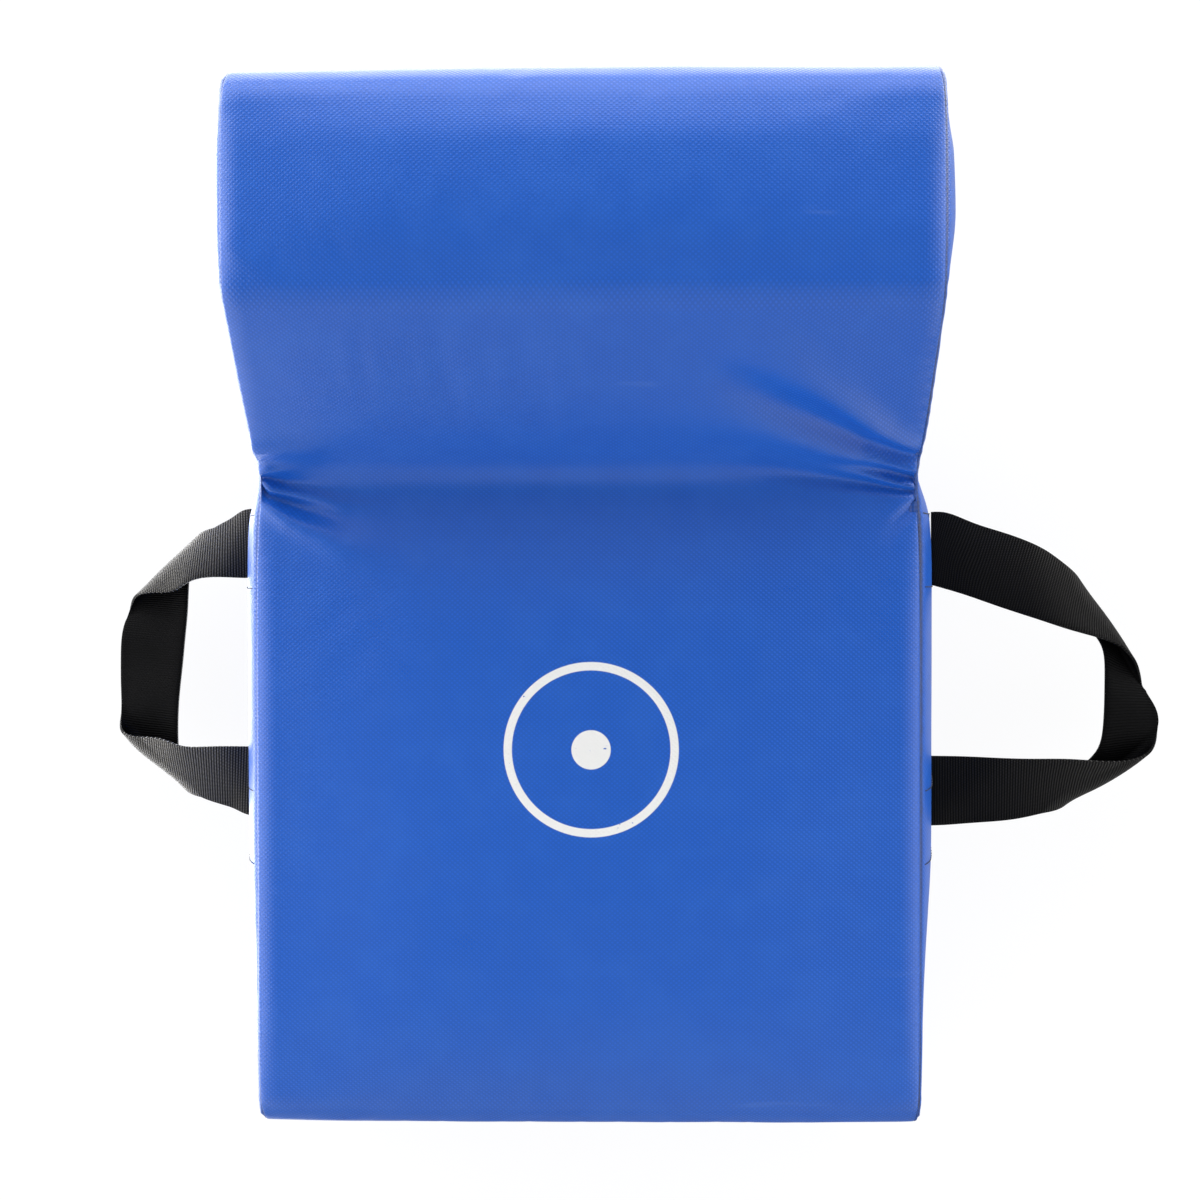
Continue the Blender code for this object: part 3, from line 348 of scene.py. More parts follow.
class Pad:
    """The stuffed shape of the shield, worked out from its sizes."""

    def __init__(self, pad, handles, zip_sizes):
        self.sizes = pad
        self.handles = handles
        self.half_width = pad.width / 2
        self.back_seam_z = pad.back_roll
        self.front_seam_z = self.back_seam_z + pad.thickness
        bend = math.atan2(pad.head_rise, pad.slope_run)
        shift = pad.thickness * math.tan(bend / 2)
        back_tangent = pad.crease_back_radius * math.tan(bend / 2)
        flat_end = pad.lower_length + shift - back_tangent
        self.bottom_y = -(pad.bottom_radius + flat_end) / 2
        self.top_y = self.bottom_y + pad.lower_length + pad.slope_run + pad.head_length
        self.zip_z = self.back_seam_z + pad.thickness / 2
        self.vent_z = self.zip_z + pad.head_rise
        self.hinge_z = self.front_seam_z - handles.depth
        self.hinge_x = self.half_width + pad.side_bulge + handles.hinge_standoff
        self.half_opening = zip_sizes.opening / 2 / pad.thickness
        front = (0.0, self.front_seam_z, pad.crease_radius, pad.ridge_radius)
        back = (shift, self.back_seam_z, pad.crease_back_radius, pad.ridge_back_radius)
        self.lines = {1: self.profile(*front), -1: self.profile(*back)}
        self.lengths = {}
        for side, line in self.lines.items():
            self.lengths[side] = [part.length for part in line]
            self.lengths[side][0] /= 2
            self.lengths[side][LAST_PART] /= 2
        stations, *shares = zip(*SWELL_SHARES)
        runs = [self.run(station, 1) for station in stations]
        self.curves = [Curve(runs, column) for column in shares]

    def profile(self, shift, level, crease_radius, ridge_radius):
        pad = self.sizes
        crease_y = self.bottom_y + pad.lower_length + shift
        raised = level + pad.head_rise
        corners = [
            Vector((self.bottom_y, self.zip_z)),
            Vector((self.bottom_y, level)),
            Vector((crease_y, level)),
            Vector((crease_y + pad.slope_run, raised)),
            Vector((self.top_y, raised)),
            Vector((self.top_y, self.vent_z)),
        ]
        radii = (pad.bottom_radius, crease_radius, ridge_radius, pad.top_radius)
        bends = [Bend(*corners[i : i + 3], radius) for i, radius in enumerate(radii)]
        parts = [bends[0]]
        for bend, following in zip(bends, bends[1:]):
            parts += [Straight(bend.end, following.start), following]
        return parts

    def run(self, station, side):
        """The length along the profile from its first station."""
        index = min(int(station), LAST_PART)
        return sum(self.lengths[side][:index]) + self.lengths[side][index] * (station - index)

    def row(self, station, side):
        index = min(int(station), LAST_PART)
        share = station - index
        if index == 0:
            share = 0.5 + share / 2
        elif index == LAST_PART:
            share /= 2
        place, direction = self.lines[side][index].at(share)
        normal = Vector((-direction.y, direction.x)) * side
        front_run = self.run(station, 1)
        roll, dome, bulge = (curve(front_run) for curve in self.curves)
        near = abs(front_run - self.run(CREASE, 1)) / self.sizes.crease_reach
        pinch = self.sizes.crease_pinch * bell(near, PINCH_SPREAD)
        if side > 0:
            roll *= self.sizes.front_roll
            dome *= self.sizes.front_dome
        else:
            from_end = min(station, LAST - station)
            roll = self.sizes.back_roll * mix(END_ROLL_SHARE, 1.0, smooth(from_end, 0.0, 1.0))
            dome = 0.0
        return Row(
            place, normal, roll, dome, self.sizes.side_bulge * bulge, pinch, self.run(station, side)
        )

    def end_row(self, station, share):
        """A row across the bottom end or the top end, at a share of the thickness."""
        top = station > 1
        radius = self.sizes.top_radius if top else self.sizes.bottom_radius
        way = 1.0 if top else -1.0
        lift = self.sizes.head_rise if top else 0.0
        front = self.row(station, 1)
        back = self.row(station, -1)
        z = mix(back.place.y, front.place.y, share)
        past = max(0.0, z - (self.front_seam_z + lift - radius))
        past += min(0.0, z - (self.back_seam_z + lift + radius))
        depth = math.sqrt(radius**2 - past**2)
        y = (self.top_y if top else self.bottom_y) - way * (radius - depth)
        normal = Vector((way * depth / radius, past / radius))
        swell = max(0.0, abs(2 * share - 1) - END_FLAT_SHARE) / (1 - END_FLAT_SHARE)
        swell *= swell
        run = front.run + (1 - share) * self.sizes.thickness * way
        return Row(
            Vector((y, z)), normal, front.roll * swell, front.dome * swell, front.bulge,
            front.pinch, run,
        )

    def side_place(self, station, share):
        """A place on the side of the pad: how far out it lies, then its Y and Z."""
        front = self.row(station, 1)
        back = self.row(station, -1)
        place = back.place.lerp(front.place, share)
        end, from_end = (0.0, station) if station < 1 else (LAST, LAST - station)
        if from_end < 1:
            curved = self.end_row(end, share).place
            flat = self.row(end, -1).place.lerp(self.row(end, 1).place, share)
            place.x += (curved.x - flat.x) * (1 - smooth(from_end, 0.0, 1.0))
        reach = self.half_width - mix(back.pinch, front.pinch, share)
        bulge = mix(back.bulge, front.bulge, share)
        return reach + bulge * (1 - abs(2 * share - 1) ** BULGE_POWER), place

    def side_reach(self, y, z):
        """How far out the side of the lower part lies at a place on it."""
        share = (z - self.back_seam_z) / self.sizes.thickness
        station = last_where(lambda place: self.side_place(place, share)[1].x < y, 1.0, 2.0)
        return self.side_place(station, share)[0]

    def front_height(self, y):
        """The height of the front face at a distance up the shield."""
        station = last_where(lambda place: self.row(place, 1).place.x < y, 1.0, LAST - 1)
        row = self.row(station, 1)
        return row.place.y + (row.roll + row.dome) * row.normal.y


CAMERA_TURNS = ((-0.87, "X"), (1.17, "Y"), (-0.13, "Z"))
PHOTO_SIZE = 1200
SENSOR_WIDTH = 36.0
SIGHT_ROUNDS = 8


def camera_matrix(stage):
    turned = Matrix.Identity(4)
    for degrees, axis in CAMERA_TURNS:
        turned = turned @ Matrix.Rotation(math.radians(degrees), 4, axis)
    return Matrix.Translation((stage.camera_x, stage.camera_y, stage.camera_z)) @ turned


def sight_of(stage, px, py):
    """Where the camera stands, and the way from it to what a pixel of the photograph shows."""
    focal = stage.camera_lens / SENSOR_WIDTH * PHOTO_SIZE
    matrix = camera_matrix(stage)
    half = PHOTO_SIZE / 2
    ray = matrix.to_3x3() @ Vector(((px - half) / focal, (half - py) / focal, -1))
    return matrix.translation, ray


def seen_at(pad, stage, px, py):
    """The place on the front face that a pixel of the photograph shows."""
    origin, ray = sight_of(stage, px, py)
    height = pad.front_seam_z
    for _ in range(SIGHT_ROUNDS):
        spot = origin + ray * ((height - origin.z) / ray.z)
        height = pad.front_height(spot.y)
    return spot.to_2d()


# Folds that run out of the ends of the crease and the ridge: the line of each in the photograph's
# pixels, its half width in millimetres at its start and end, and its height in millimetres.
FOLDS = (
    (((250, 476), (267, 496), (298, 506), (340, 517), (430, 528)), 2.2, 10.0, -8.0),
    (((249, 474), (268, 466), (290, 465), (330, 458)), 2.8, 8.0, 6.4),
    (((252, 476), (268, 479), (292, 485), (338, 491), (420, 494)), 2.0, 9.0, -4.6),
    (((252, 477), (273, 491), (322, 500), (353, 508), (430, 552)), 1.6, 12.0, 4.0),
    (((243, 447), (300, 442), (350, 434)), 5.5, 12.0, 5.2),
    (((249, 488), (290, 520), (340, 545), (400, 568), (490, 600)), 5.0, 20.0, 4.6),
    (((930, 490), (896, 483), (869, 474), (842, 468), (800, 455)), 1.5, 5.0, 3.6),
    (((930, 484), (892, 470), (863, 462), (820, 455)), 2.2, 6.0, -4.2),
    (((929, 460), (885, 433), (838, 396), (780, 360), (700, 316)), 4.5, 18.0, 7.2),
    (((929, 457), (866, 440), (790, 402), (700, 352), (600, 296)), 3.4, 21.0, -9.2),
    (((928, 470), (860, 452), (780, 426), (690, 398), (600, 372)), 4.0, 18.0, 5.2),
    (((930, 493), (848, 481), (775, 470), (690, 462)), 2.4, 9.0, -4.0),
    (((930, 492), (901, 519), (878, 548)), 2.0, 8.0, -3.4),
    (((222, 240), (262, 272), (310, 305)), 6.0, 14.0, 1.2),
    (((962, 318), (915, 330), (860, 352)), 8.0, 20.0, 1.8),
)
FOLD_MARGIN = 3.0
FOLD_REACH = 2.6
FOLD_HOLD = 0.25
# The slow and the quick waves of the face: scale, place in the noise and share of the height.
WAVES = ((8.5, (3.1, 7.7, 0.0), 0.7), (21.0, (11.0, 2.0, 5.0), 0.3))
PUCKER_DRIFT = 45.0
PUCKER_REACH = 0.011


class Relief:
    """Folds and waves of the front face: how far the fabric stands off its plain shape."""

    def __init__(self, pad, stage):
        self.pad = pad
        self.folds = []
        for pixels, *millimetres in FOLDS:
            line = [seen_at(pad, stage, *pixel) for pixel in pixels]
            first, last, height = (value / 1000 for value in millimetres)
            margin = Vector((FOLD_MARGIN * last, FOLD_MARGIN * last))
            low = Vector([min(spot[axis] for spot in line) for axis in (0, 1)]) - margin
            high = Vector([max(spot[axis] for spot in line) for axis in (0, 1)]) + margin
            self.folds.append((line, low, high, first, last, height))

    def fold_height(self, spot):
        total = 0.0
        for line, low, high, first, last, height in self.folds:
            if low.x < spot.x < high.x and low.y < spot.y < high.y:
                along, off = self.beside(line, spot)
                width = mix(first, last, along)
                if off < width * FOLD_REACH:
                    total += height * (1 - smooth(along, FOLD_HOLD, 1.0)) * bell(off, width)
        return total

    def beside(self, line, spot):
        """How far along a line its nearest point lies, and how far away that is."""
        best = (0.0, 1.0)
        for index, (start, end) in enumerate(zip(line, line[1:])):
            way = end - start
            share = min(max((spot - start).dot(way) / way.length_squared, 0.0), 1.0)
            off = (start + way * share - spot).length
            if off < best[1]:
                best = ((index + share) / (len(line) - 1), off)
        return best

    def wave_height(self, point):
        return self.pad.sizes.wave * sum(
            share * noise.noise(point * scale + Vector(start)) for scale, start, share in WAVES
        )

    def pucker_height(self, run, off, side):
        """Puckers beside a seam, at a length along it and a distance from it."""
        sizes = self.pad.sizes
        drift = noise.noise(Vector((run * PUCKER_DRIFT, side * 3.0, 0.5)))
        beat = math.sin(math.tau * run / sizes.pucker_pitch + 2.5 * drift)
        return sizes.pucker * beat * (0.6 + 0.6 * drift) * bell(off, PUCKER_REACH)


def sheet_of(columns, rows, place, **maps):
    """A grid of fabric whose corners lie where place says, with UV maps that other functions give."""
    bm = bmesh.new()
    bmesh.ops.create_grid(bm, x_segments=columns - 1, y_segments=rows - 1, size=1)
    keys = {
        vert: (
            round((vert.co.x + 1) / 2 * (columns - 1)),
            round((vert.co.y + 1) / 2 * (rows - 1)),
        )
        for vert in bm.verts
    }
    for vert, key in keys.items():
        vert.co = place(*key)
    for name, values in maps.items():
        layer = bm.loops.layers.uv.new(name)
        for face in bm.faces:
            for loop in face.loops:
                loop[layer].uv = values(*keys[loop.vert])
    return bm, {key: vert for vert, key in keys.items()}


def turn_in(bm, chain, step_of):
    """Turns a seam allowance in from a run of vertices."""
    edges = [bm.edges.get(pair) for pair in zip(chain, chain[1:])]
    made = bmesh.ops.extrude_edge_only(bm, edges=edges)
    order = {vert: index for index, vert in enumerate(chain)}
    moves = {}
    for vert in (item for item in made["geom"] if isinstance(item, bmesh.types.BMVert)):
        for edge in vert.link_edges:
            source = edge.other_vert(vert)
            if source in order:
                moves[vert] = step_of(order[source])
    for vert, step in moves.items():
        vert.co += step


def piece(name, bm, material):
    mesh = bpy.data.meshes.new(name)
    bm.to_mesh(mesh)
    bm.free()
    mesh.materials.append(material)
    item = bpy.data.objects.new(name, mesh)
    bpy.context.scene.collection.objects.link(item)
    mesh.shade_smooth()
    return item


def settle(item):
    """Applies an object's modifiers, so that its mesh is final."""
    bpy.context.view_layer.update()
    graph = bpy.context.evaluated_depsgraph_get()
    mesh = bpy.data.meshes.new_from_object(item.evaluated_get(graph))
    item.modifiers.clear()
    old = item.data
    item.data = mesh
    bpy.data.meshes.remove(old)
    mesh.name = item.name
    return item


def thicken(item, thickness, offset):
    wall = item.modifiers.new("Thickness", "SOLIDIFY")
    wall.thickness = thickness
    wall.offset = offset
    wall.use_even_offset = False
    return item


def dress(item, body, slot, nodes=()):
    if nodes:
        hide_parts(*nodes)
    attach(item, body)
    return item


# Materials


class Signal:
    """A value in a shader graph that can be used in sums."""

    def __init__(self, graph, socket):
        self.graph = graph
        self.socket = socket

    def __add__(self, other):
        return self.graph.maths("ADD", self, other)

    def __radd__(self, other):
        return self.graph.maths("ADD", other, self)

    def __sub__(self, other):
        return self.graph.maths("SUBTRACT", self, other)

    def __rsub__(self, other):
        return self.graph.maths("SUBTRACT", other, self)

    def __mul__(self, other):
        return self.graph.maths("MULTIPLY", self, other)

    def __rmul__(self, other):
        return self.graph.maths("MULTIPLY", other, self)

    def __truediv__(self, other):
        return self.graph.maths("DIVIDE", self, other)

    def __lt__(self, other):
        return self.graph.maths("LESS_THAN", self, other)


def scaled(colour, strength):
    return tuple(part * strength for part in colour)


class Finish:
    """A material under construction."""

    def __init__(self, name, tree=None):
        self.material = None
        if tree is None:
            self.material = bpy.data.materials.new(name)
            self.material.use_nodes = True
            tree = self.material.node_tree
        self.tree = tree
        self.tree.nodes.clear()

    def node(self, kind, settings=None, output=0, **sockets):
        """Adds a node with its settings and socket values or links, and gives one output."""
        made = self.tree.nodes.new(kind)
        for key, value in (settings or {}).items():
            setattr(made, key, value)
        for key, value in sockets.items():
            name = key.replace("_", " ")
            index = int(name[5:]) if name.startswith("input") else name
            socket = made.inputs[index]
            if isinstance(value, Signal):
                self.tree.links.new(value.socket, socket)
            else:
                socket.default_value = value
        return Signal(self, made.outputs[output]) if len(made.outputs) else None

    def maths(self, operation, first, second=0.0):
        return self.node("ShaderNodeMath", {"operation": operation}, input0=first, input1=second)

    def sine(self, value):
        return self.maths("SINE", value)

    def absolute(self, value):
        return self.maths("ABSOLUTE", value)

    def least(self, first, second):
        return self.maths("MINIMUM", first, second)

    def most(self, first, second):
        return self.maths("MAXIMUM", first, second)

    def between(self, value, low, high):
        """Rises smoothly from 0 to 1 as the value goes from low to high."""
        return self.node(
            "ShaderNodeMapRange",
            {"interpolation_type": "SMOOTHSTEP"},
            Value=value, From_Min=low, From_Max=high,
        )

    def blend(self, share, first, second):
        """A colour between two colours."""
        wide = [
            value if isinstance(value, Signal) else (*value, 1.0) for value in (first, second)
        ]
        return self.node(
            "ShaderNodeMix", {"data_type": "RGBA"}, 2, input0=share, input6=wide[0], input7=wide[1]
        )

    def shades(self, share, colour, low, high):
        """A colour between two strengths of one colour."""
        return self.blend(share, scaled(colour, low), scaled(colour, high))

    def place(self):
        return self.node("ShaderNodeTexCoord", output=3)

    def stretched(self, turn, scale):
        return self.node(
            "ShaderNodeMapping", {"vector_type": "POINT"},
            Vector=self.place(), Rotation=turn, Scale=scale,
        )

    def rays(self, *names):
        path = self.node("ShaderNodeLightPath").socket.node
        return [Signal(self, path.outputs[name]) for name in names]

    def parts(self, vector):
        split = self.node("ShaderNodeSeparateXYZ", input0=vector).socket.node
        return [Signal(self, socket) for socket in split.outputs]

    def drawn(self, name="flat"):
        """The two numbers of a UV map: in the one named flat, lengths across and along the fabric."""
        return self.parts(self.node("ShaderNodeUVMap", {"uv_map": name}))[:2]

    def cloud(self, scale, detail=2.0, vector=None):
        return self.node(
            "ShaderNodeTexNoise",
            Vector=vector or self.place(), Scale=scale, Detail=detail, Roughness=0.55,
        )

    def surface(self, height, bump=1.0, **sockets):
        """Ends the material: a shader with these sockets, over a relief of this height in metres."""
        normal = self.node("ShaderNodeBump", Strength=bump, Distance=1.0, Height=height)
        shader = self.node("ShaderNodeBsdfPrincipled", Normal=normal, **sockets)
        self.node("ShaderNodeOutputMaterial", Surface=shader)
        return self.material


WEAVE_ACROSS = 0.00353
WEAVE_ALONG = 0.00302
DOT_DEPTH = 0.00011
GRAIN_DEPTH = 0.000010
MOTTLE_DEPTH = 0.00012
PRINT_DEPTH = 0.00004
SCUFF_COLOUR = (0.10, 0.22, 0.62)
SEAM_SHADE_START = 0.0016
# How dark the painted shade beside the seams is, and how far from them it ends.
FACE_SEAM_SHADE = (0.4, 0.0030)
SIDE_SEAM_SHADE = {"left": (0.35, 0.0030), "right": (0.85, 0.0046)}


def vinyl_finish(colours, name, seams, seam_shade, seam_shade_end, mark=None):
    """Coated scrim fabric: satin, with the weave showing through, faint clouding and scuffs.

    Painted shade darkens it beside its seams, whose places across the fabric are given; the shade has
    the given darkness and fades out at the given distance from them.
    """
    finish = Finish(name)
    across, along = finish.drawn()
    weave = finish.sine(across * (math.tau / WEAVE_ACROSS))
    weave = weave * finish.sine(along * (math.tau / WEAVE_ALONG))
    slow = finish.cloud(6.0)
    mottled = finish.cloud(42.0, 3.0)
    grain = finish.cloud(1400.0, 1.0)
    worn = finish.between(mottled * 0.6 + slow * 0.4, 0.42, 0.66)
    shade = finish.blend(worn * 0.30, colours.vinyl, colours.vinyl_light)
    dots = finish.between(weave, -0.1, 0.8)
    # Painted highlight: the raised weave dots are drawn lighter.
    shade = finish.blend(dots * 0.5, shade, scaled(colours.vinyl, 1.5))
    streaks = finish.stretched((0.0, 0.0, math.radians(28)), (9.0, 90.0, 9.0))
    scuffs = finish.between(finish.cloud(1.0, 4.0, streaks), 0.66, 0.74)
    scuffs = scuffs * finish.between(finish.cloud(3.2, 1.0), 0.55, 0.68)
    shade = finish.blend(scuffs * 0.18, shade, SCUFF_COLOUR)
    rough = 0.40 - dots * 0.10 + (slow - 0.5) * 0.10 + (mottled - 0.5) * 0.06 + scuffs * 0.12
    height = dots * DOT_DEPTH + grain * GRAIN_DEPTH + mottled * MOTTLE_DEPTH
    # Painted shade: the fabric is drawn darker along the seam grooves.
    off = finish.least(*(finish.absolute(across - seam) for seam in seams))
    seam_shaded = 1 - finish.between(off, SEAM_SHADE_START, seam_shade_end)
    shade = finish.blend(seam_shaded * seam_shade, shade, scaled(colours.vinyl, 0.10))
    if mark:
        x, y, _ = finish.parts(finish.place())
        printed = mark(finish, x, y) * finish.between(finish.cloud(260.0, 4.0), 0.24, 0.33)
        shade = finish.blend(printed, shade, colours.mark)
        rough = rough + printed * 0.06
        height = height + printed * PRINT_DEPTH
    return finish.surface(height, Base_Color=shade, Roughness=rough, Specular_IOR_Level=0.58)


MARK_MIDDLE = (0.003, 0.016)
MARK_RING = 0.058
MARK_LINE = 0.0055
MARK_DOT = 0.013
MARK_EDGE = 0.0003


def strike_mark(finish, x, y):
    """A ring and a dot, printed in the middle of the striking face as a mark to aim at."""
    off_x = x - MARK_MIDDLE[0]
    off_y = y - MARK_MIDDLE[1]
    far = finish.maths("SQRT", off_x * off_x + off_y * off_y)

    def inside(limit):
        return 1 - finish.between(far, limit - MARK_EDGE, limit + MARK_EDGE)

    ring = inside(MARK_RING) * (1 - inside(MARK_RING - MARK_LINE))
    return finish.most(ring, inside(MARK_DOT))


RIB_PITCH = 0.0019
FLOAT_PITCH = 0.0012
WEBBING_NAME = "black ribbed webbing"
WEBBING_DUST = (0.006, 0.0058, 0.0054)
WEBBING_SHEEN = (0.62, 0.60, 0.57)


def webbing_finish(colours):
    """Ribbed webbing: ribs across its width, each made of small floats, with painted shade between the
    ribs and painted grey sheen on top.
    """
    finish = Finish(WEBBING_NAME)
    across, along = finish.drawn()
    rib = finish.absolute(finish.sine(along * (math.pi / RIB_PITCH)))
    turn = finish.maths("FLOOR", along / RIB_PITCH) * math.pi
    float_wave = finish.sine(across * (math.tau / FLOAT_PITCH) + turn) * 0.5 + 0.5
    fibre = finish.cloud(900.0, 2.0)
    slow = finish.cloud(18.0, 2.0)
    height = rib * 0.00022 + rib * float_wave * 0.00010 + fibre * 0.00004
    # Painted shade in the troughs between the ribs and painted highlight on the rib tops.
    tone = finish.shades(rib * (0.35 + 0.65 * float_wave), colours.webbing, 0.45, 2.1)
    tone = finish.blend(finish.between(slow, 0.45, 0.75) * 0.35, tone, WEBBING_DUST)
    # Painted sheen: light grey painted on the rib tops of the arms, where they catch the lamps.
    sheen_mask = finish.drawn("wear")[0] * rib * rib * (0.1 + 0.9 * float_wave) * (0.7 + fibre * 0.6)
    tone = finish.blend(sheen_mask, tone, WEBBING_SHEEN)
    rough = 0.40 + (fibre - 0.5) * 0.16 + (1 - rib) * 0.15
    return finish.surface(
        height, 0.85, Base_Color=tone, Roughness=rough, Specular_IOR_Level=0.05
    )


TWIST_PITCH = 0.0009
TWIST_DEPTH = 0.00005
FIBRE_DEPTH = 0.00002
CHEVRON_PITCH = 0.0030
CHEVRON_HEIGHT = 0.0016


def thread_finish(name, colour):
    """Twisted sewing thread."""
    finish = Finish(name)
    x, y, z = finish.parts(finish.place())
    twist = finish.sine((x + y * 1.3 + z) * (math.tau / TWIST_PITCH))
    fibre = finish.cloud(2600.0, 2.0)
    # Painted shade: the thread is drawn darker in the grooves of its twist.
    return finish.surface(
        twist * TWIST_DEPTH + fibre * FIBRE_DEPTH,
        Base_Color=finish.shades(twist * 0.35 + 0.5, colour, 0.6, 1.5),
        Roughness=0.62 + (fibre - 0.5) * 0.2, Sheen_Weight=0.2,
    )


def tape_finish(colours):
    """Woven zip tape: a fine herringbone."""
    finish = Finish("zip tape")
    across, along = finish.drawn()
    zigzag = finish.absolute(finish.sine(across * (math.pi / CHEVRON_PITCH))) * CHEVRON_HEIGHT
    rib = finish.sine((along + zigzag) * (math.tau / TWIST_PITCH))
    fibre = finish.cloud(2200.0, 2.0)
    # Painted shade: the tape is drawn darker between its ribs.
    return finish.surface(
        rib * TWIST_DEPTH + fibre * FIBRE_DEPTH,
        Base_Color=finish.shades(rib * 0.4 + 0.5, colours.zip_black, 0.6, 1.7),
        Roughness=0.78 + (fibre - 0.5) * 0.15, Sheen_Weight=0.2,
    )


def moulded_finish(colours):
    """Moulded plastic teeth."""
    finish = Finish("zip teeth plastic")
    fine = finish.cloud(1500.0, 3.0)
    slow = finish.cloud(120.0, 2.0)
    return finish.surface(
        fine * FIBRE_DEPTH, Base_Color=finish.shades(slow * 0.5, colours.zip_black, 1.0, 1.8),
        Roughness=0.36 + (slow - 0.5) * 0.2,
    )


SCRATCH_DEPTH = 0.000006
TARNISH_DEPTH = 0.000008


def nickel_finish(colours, name, roughness):
    """Plated metal with fine scratches and dulled patches."""
    finish = Finish(name)
    scratched = finish.stretched((0.3, 0.5, 0.7), (400.0, 3600.0, 900.0))
    lines = finish.between(finish.cloud(1.0, 3.0, scratched), 0.60, 0.72)
    dull = finish.cloud(300.0, 3.0)
    tone = finish.shades(finish.between(dull, 0.45, 0.75) * 0.4, colours.nickel, 1.0, 0.72)
    return finish.surface(
        lines * -SCRATCH_DEPTH + dull * TARNISH_DEPTH, Base_Color=tone, Metallic=1.0,
        Roughness=roughness + lines * 0.16 + (dull - 0.5) * 0.16,
    )


PIT_SHARE = 0.35


def foam_finish(name, colour, cell):
    """Cut open-cell foam."""
    finish = Finish(name)
    cells = finish.node(
        "ShaderNodeTexVoronoi", {"feature": "F1"}, Vector=finish.place(), Scale=1 / cell
    )
    slow = finish.cloud(14.0, 2.0)
    pit = finish.between(cells, 0.05, 0.5)
    # Painted shade: the foam is drawn darker in the pits of its cells.
    tone = finish.shades(pit, colour, 0.72, 1.0)
    tone = finish.blend((slow - 0.35) * 0.4, tone, scaled(colour, 0.86))
    return finish.surface(
        pit * cell * PIT_SHARE, Base_Color=tone, Roughness=0.9 - pit * 0.05
    )


def settings():
    return bpy.context.scene.tackle_shield


def current_pad():
    chosen = settings()
    return Pad(chosen.pad, chosen.handles, chosen.zip)


def spread(steps):
    return [step / steps for step in range(steps + 1)]


# Steps along each stretch of the profile, and across from the middle to the roll and over the roll.
FRONT_STEPS = (5, 104, 24, 56, 6, 26, 6)
BACK_STEPS = (4, 48, 10, 14, 6, 14, 4)
SIDE_STEPS = (5, 72, 10, 22, 6, 22, 6)
SIDE_COLUMNS = 32
FRONT_COLUMNS = (56, 10)
BACK_COLUMNS = (24, 7)
END_STEPS = 16
ARC_STEPS = 6
LOWER_STRETCH = 1
SLOPE_STRETCH = 3


def stations_for(steps):
    """Stations along the shield, closer together near the crease."""
    stations = [0.0]
    for index, count in enumerate(steps):
        for share in spread(count)[1:]:
            if index == LOWER_STRETCH:
                share = 1 - (1 - share) ** 1.7
            elif index == SLOPE_STRETCH:
                share = share**1.6
            stations.append(index + share)
    return stations


def columns_for(half_width, roll_width, wide_steps, roll_steps):
    """Shares of the half width on both sides of the middle, closer together towards the seams."""
    first = 1 - roll_width / half_width
    shares = [first * (1 - (1 - t) ** 1.4) for t in spread(wide_steps)]
    shares += [mix(first, 1.0, math.sin(math.pi / 2 * t)) for t in spread(roll_steps)[1:]]
    return [-share for share in reversed(shares[1:])] + shares


def end_shares(pad, radius):
    """Shares of the thickness at an end, evenly spaced round its two rounded corners."""
    corner = math.pi / 4
    height = pad.sizes.thickness - 2 * (radius * (1 - math.sin(corner)))
    arc = [
        radius * (math.sin(corner) - math.sin(corner * (1 - t))) / height for t in spread(ARC_STEPS)
    ]
    flat = [mix(arc[-1], 1 - arc[-1], t) for t in spread(END_STEPS)]
    return arc[:-1] + flat + [1 - share for share in reversed(arc[:-1])]


def face_rows(pad, side, stations):
    """The rows of a face from the zip's edge on, and how many of them come before its stations."""
    edge = 0.5 + side * pad.half_opening
    shares = end_shares(pad, pad.sizes.bottom_radius)
    if side < 0:
        shares.reverse()
    shares = [share for share in shares if (edge < share < 1 if side > 0 else 0 < share < edge)]
    rows = [pad.end_row(0.0, share) for share in [edge] + shares]
    first = len(rows)
    if side < 0:
        for row in rows:
            row.run = -row.run
    rows += [pad.row(station, side) for station in stations]
    if side > 0:
        over_top = reversed(end_shares(pad, pad.sizes.top_radius))
        rows += [pad.end_row(LAST, share) for share in over_top if share < 1]
    return rows, first


def seam_gap(pad, side):
    return pad.sizes.slack_gap if side > 0 else pad.sizes.seam_gap


def seam_pull(pad, off):
    """How far a seam draws the fabric in, at a distance from it."""
    return pad.sizes.seam_tuck * bell(off, pad.sizes.seam_tuck_reach)


# Distances from a seam over which folds, waves and puckers grow to their full height.
FOLD_RISE = 0.004
WAVE_RISE = 0.03
PUCKER_RISE = 0.003
SEAM_SHARE = 0.9


def face_point(pad, relief, row, u, side, roll_width):
    """A place on the front or back face, at a share of the half width."""
    reach = pad.half_width - row.pinch
    edge = max(0.0, abs(u) * reach - (reach - roll_width)) / roll_width
    rise = row.roll * math.sqrt(max(0.0, 1 - edge**2)) + row.dome * (1 - u**2)
    x = u * reach
    from_seam = math.hypot(reach - abs(x), rise)
    if side > 0:
        spot = Vector((x, *row.place))
        rise += relief.fold_height(spot.to_2d()) * smooth(from_seam, 0.0, FOLD_RISE)
        rise += relief.wave_height(spot) * smooth(from_seam, 0, WAVE_RISE)
    pucker = relief.pucker_height(row.run, from_seam, math.copysign(1, x) * side)
    rise += pucker * smooth(from_seam, 0.0, PUCKER_RISE)
    if abs(u) > SEAM_SHARE:
        x -= math.copysign(seam_pull(pad, from_seam), x)
    return Vector((x, row.place.x + row.normal.x * rise, row.place.y + row.normal.y * rise))


def allowance_move(pad, side, normal):
    across = -side * math.cos(pad.sizes.allowance_tilt) * pad.sizes.allowance
    inward = -math.sin(pad.sizes.allowance_tilt) * pad.sizes.allowance
    return Vector((across, normal.x * inward, normal.y * inward))


